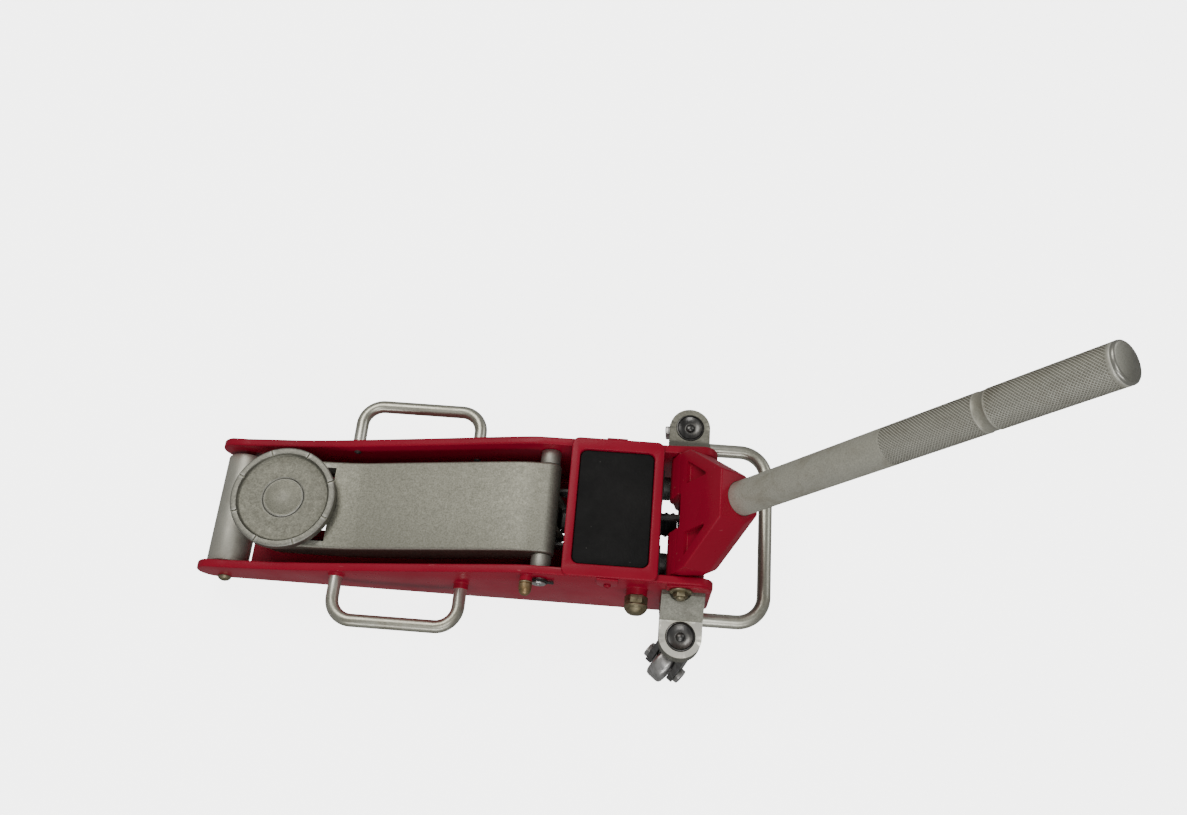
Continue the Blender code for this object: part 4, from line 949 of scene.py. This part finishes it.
def levelling_rods():
    """The two bars that keep the saddle level."""
    for side in SIDES:
        label = side_name(side)
        bar = capsule(link_end(PIN), 5.2, link_end(PIVOT), 5.2)
        bar = ease(prism(label + "_level_bar", bar, side * 29.1, side * 33.9), 0.9, 3, 40)
        show(bar, STEEL, label + "_levelling_rod")


# --- pump, plunger and springs ---------------------------------------------------------
def plunger():
    """Pump plunger with a headed end, and the ribbed boot round it."""
    tip, depth = YOKE[0] - 5.4, YOKE[0] - 5.4 - 394.5
    face = [(0, 0), (7.2, 0), (7.8, -0.3), (8.0, -0.9), (8.0, -4.4), (4.5, -4.4), (4.5, -depth), (0, -depth)]
    show(lathe("plunger_rod", face, (tip, 0, PLUNGER_Z), (1, 0, 0), 48), BRIGHT, "pump_plunger")
    start, length, steps, pitch, mean, wave = -1.0, 18.6, 33, 6.1, 10.75, 0.75
    outer = []
    for i in range(steps + 1):
        h = start - length * i / steps
        lip = 0.35 if h > -2 else 0
        outer.append((mean + wave * cos(2 * pi * (h + 4.1) / pitch) - lip, h))
    boot = outer + [(9.5, -19.6), (9.5, -5.0), (8.3, -4.4), (8.3, -1.0)]
    show(lathe("bellows", boot, (tip, 0, PLUNGER_Z), (1, 0, 0), 56), RUBBER, "plunger_boot")


def spring(side):
    """Return spring, which stretches between the frame and the ram."""
    label = side_name(side)
    y, z, turns, per_turn, coil_r, wire = side * 19.0, 53.5, 21, 16, 3.05, 0.62
    start, end = 324.0, 366.0
    path = [(319.7, y, 54.2), (321.6, y, 54.8)]
    for i in range(turns * per_turn + 1):
        x, angle = start + (end - start) * i / (turns * per_turn), 2 * pi * i / per_turn
        path.append((x, y + coil_r * sin(angle), z + coil_r * cos(angle)))
    path += [(368.0, y, z + 1.4), (370.5, y, z)]
    coil = show(sweep(label + "_spring", path, wire, 8), STEEL, label + "_return_spring", rides=False)
    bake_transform(coil)


def pump_body():
    """Pump casting with its valve block, cylinder caps, arm ears and plugs."""
    body = ease(block("pump_casting", (338, -50, 26), (411.5, 50, 88)), 2.2, 4)
    valve = ease(block("valve", (352, -13, 80), (396, 13, 102.5)), 2.0, 4)
    tools = [block("boot_space", (385, -24, 58), (430, 24, 87.5))]
    ears = []
    for side in SIDES:
        cap = [(0, 416.8), (5.6, 416.8), (6.4, 417.9), (10.2, 418.0), (10.9, 417.3), (11.0, 405), (0, 405)]
        ears.append(lathe("cap", cap, (0, side * 37, 70.0), (1, 0, 0), 56))
        ear = capsule(link_end(PIVOT), 6.0, (345, 66), 10.0)
        ears.append(ease(prism("ear", ear, side * 24.4, side * 27.6), 0.8, 3, 40))
        low, high = sorted((side * 15.2, side * 23.4))
        tools.append(block("room", (330, low, 46), (372, high, 61)))
    body = cut(fuse(body, valve), *tools)
    barrel = rod("barrel", (375, 0, PLUNGER_Z), (403.9, 0, PLUNGER_Z), 9.0)
    plugs = [hexagon("plug", (398, way * 36, 0), (0, 0, 1), 9.0, 88, 91.5) for way in SIDES]
    show(gather(body, barrel, *ears, *plugs), PUMP, "hydraulic_body")


# --- yoke and handle -------------------------------------------------------------------
LEAN = about(xz(YOKE, 0), Matrix.Rotation(HANDLE_LEAN, 4, "Y"))


def yoke_ring(z, front, half, shoulder, rear, rear_half):
    """Section across the yoke: a flat front and a narrower rear."""
    right = [(-front, half, z), (shoulder, half, z), (rear, rear_half, z)]
    return right + [(x, -y, z) for x, y, z in reversed(right)]


def yoke():
    """Tapered handle socket with its pivot barrel, push lobes, pockets and bore."""
    half, throw = 56.3, 20.5
    drop = (throw * sin(HANDLE_LEAN), -throw * cos(HANDLE_LEAN))
    body = loft("yoke_casting", [yoke_ring(11, 17.0, half, 7.0, 17.0, half - 6),
                                 yoke_ring(27, 19.0, half - 1.5, 7.0, 18.5, half - 8),
                                 yoke_ring(78, 23.5, 21.5, 4.0, 18.5, 10.0)])
    body = ease(body, 1.8, 4, 20)
    root = [(-17, 12), (-17, 10.5), (-12.4, -4), (0, -13), (11, 2), (16, 12)]
    barrel = ease(rod("barrel", (0, -half, 0), (0, half, 0), 14.0, 72), 1.0, 3)
    body = fuse(body, barrel, prism("root", root, 0.4 - half, half - 0.4))
    body = cut(body, block("notch", (-40, -16, -40), (40, 16, 16)))
    corners = [(22.5, 24.5), (44.0, 24.5), (42.0, 28.5), (24.6, 54.5), (22.5, 54.5)]
    lobes, pockets = [], []
    for side in SIDES:
        lobe = prism("lobe", capsule((0, 0), 12.0, drop, 8.2), side * 16.4, side * 21.4)
        lobes.append(ease(lobe, 0.8, 3, 40))
        pocket = prism("pocket", [(side * y, z) for y, z in corners], -40, -14.5, "YZ")
        pockets.append(ease(pocket, 1.6, 3, 40))
    body = fuse(body, *lobes)
    bore = rod("bore", (0, 0, 38), (0, 0, 120), 15.4, 72)
    body = cut(body, *pockets, bore, rod("link", (0, 0, 5), (0, 0, 50), 8.0))
    show(move(LEAN, body), RED, "handle_yoke", angle=30)
    end = [(0, 21), (4.4, 21), (5, 20.4)]
    pin = lathe("push_cross_pin", end + mirrored(end), xz(drop, 0), (0, 1, 0), 40)
    show(move(LEAN, pin), STEEL, "push_pin")


GRIP_ZONES = ((243.0, 326.0), (336.0, 426.5))     # heights along the handle
BAND = (326.5, 335.5)                     # the turned-down ring between the two grips
GROOVES, STEPS_PER_GROOVE, KNURL_DEPTH = 36, 4, 0.7
KNURL_STEP = 2 * pi * HANDLE_R / GROOVES / STEPS_PER_GROOVE


def handle_heights():
    """Heights of the handle's rings: dense in the grips, few elsewhere."""
    heights = [HANDLE_LOW, HANDLE_LOW + 0.4, 90, 140, 190, 242.6]
    for start, end in GRIP_ZONES:
        count = round((end - start) / KNURL_STEP)
        heights += [start + (end - start) * i / count for i in range(count + 1)]
    heights += [BAND[0], BAND[0] + 0.35, BAND[1] - 0.35, BAND[1], 427.0, HANDLE_HIGH - 0.5, HANDLE_HIGH]
    return sorted(set(heights))


def handle_radii(h, around):
    """Radii round the handle at one height, with two crossing sets of grooves in the grips."""
    for start, end in GRIP_ZONES:
        if start <= h <= end:
            step = round((h - start) / KNURL_STEP)
            fade = min(1.0, h - start, end - h)
            hits = [max(abs((i + way * step) / STEPS_PER_GROOVE % 1.0 - 0.5) * 2 for way in SIDES)
                    for i in range(around)]
            return [HANDLE_R - KNURL_DEPTH * fade * max(0.0, hit * 2 - 1) - 0.02 for hit in hits]
    inset = 0.4 if BAND[0] < h < BAND[1] else 0.3 if h in (HANDLE_LOW, HANDLE_HIGH) else 0.0
    return [HANDLE_R - inset] * around


def knurled_handle():
    """Handle tube whose two grips carry a real diamond knurl, and its end cap."""
    around, bore, r, top = GROOVES * STEPS_PER_GROOVE, 12.4, HANDLE_R, HANDLE_HIGH
    levels = [(h, handle_radii(h, around)) for h in handle_heights()]
    levels += [(h, [bore] * around) for h in (HANDLE_HIGH, HANDLE_LOW)]
    angles = [2 * pi * i / around for i in range(around)]
    bm = bmesh.new()
    rings = [[bm.verts.new(world(radius * cos(a), radius * sin(a), h)) for radius, a in zip(radii, angles)]
             for h, radii in levels]
    for a, b in zip(rings, rings[1:] + rings[:1]):
        for i in range(around):
            j = (i + 1) % around
            bm.faces.new((a[i], a[j], b[j], b[i]))
    show(move(LEAN, as_object("handle_bar", bm)), HANDLE, "handle", angle=75)
    cap = [(0, top + 3.15), (r - 2.2, top + 3.15), (r - 0.9, top + 2.9), (r - 0.2, top + 2.1), (r, top + 1.2),
           (r, top + 0.3), (12.0, top + 0.3), (12.0, top - 9), (0, top - 9)]
    cap = lathe("handle_plug", cap, (0, 0, 0), (0, 0, 1), 96)
    show(move(LEAN, cap), HANDLE_CAP, "handle_end_cap")


# --- the whole scene -------------------------------------------------------------------
add_camera()
add_studio()
add_floor()
for side in SIDES:
    side_plate(side)
    side_grip(side)
    caster_bracket(side)
    spring(side)
for side in SIDES:
    caster(side)
rear_handle()
axle()
pivot()
for side in SIDES:
    yoke_bolt(side)
    pump_bolt(side)
stud()
cover()
arm()
saddle()
levelling_rods()
plunger()
pump_body()
yoke()
knurled_handle()

# CAD solids that stay in view behind the detailed pieces, with finished materials; the dark iron and steel on
# the ram and its rod are dull metal and partly painted shade for the dim inside of the frame
KEPT = {"saddle_carrier": IRON, "left_rod_pin": STEEL, "right_rod_pin": STEEL, "rod_front_pin": STEEL,
        "ram_rod": STEEL, "ram_head": IRON, "ram_gland": IRON, "release_link": STEEL, "release_valve": BLACK}
for name, material in KEPT.items():
    for slot in frame["nodes"][name].material_slots:
        slot.link = "OBJECT"
        slot.material = material
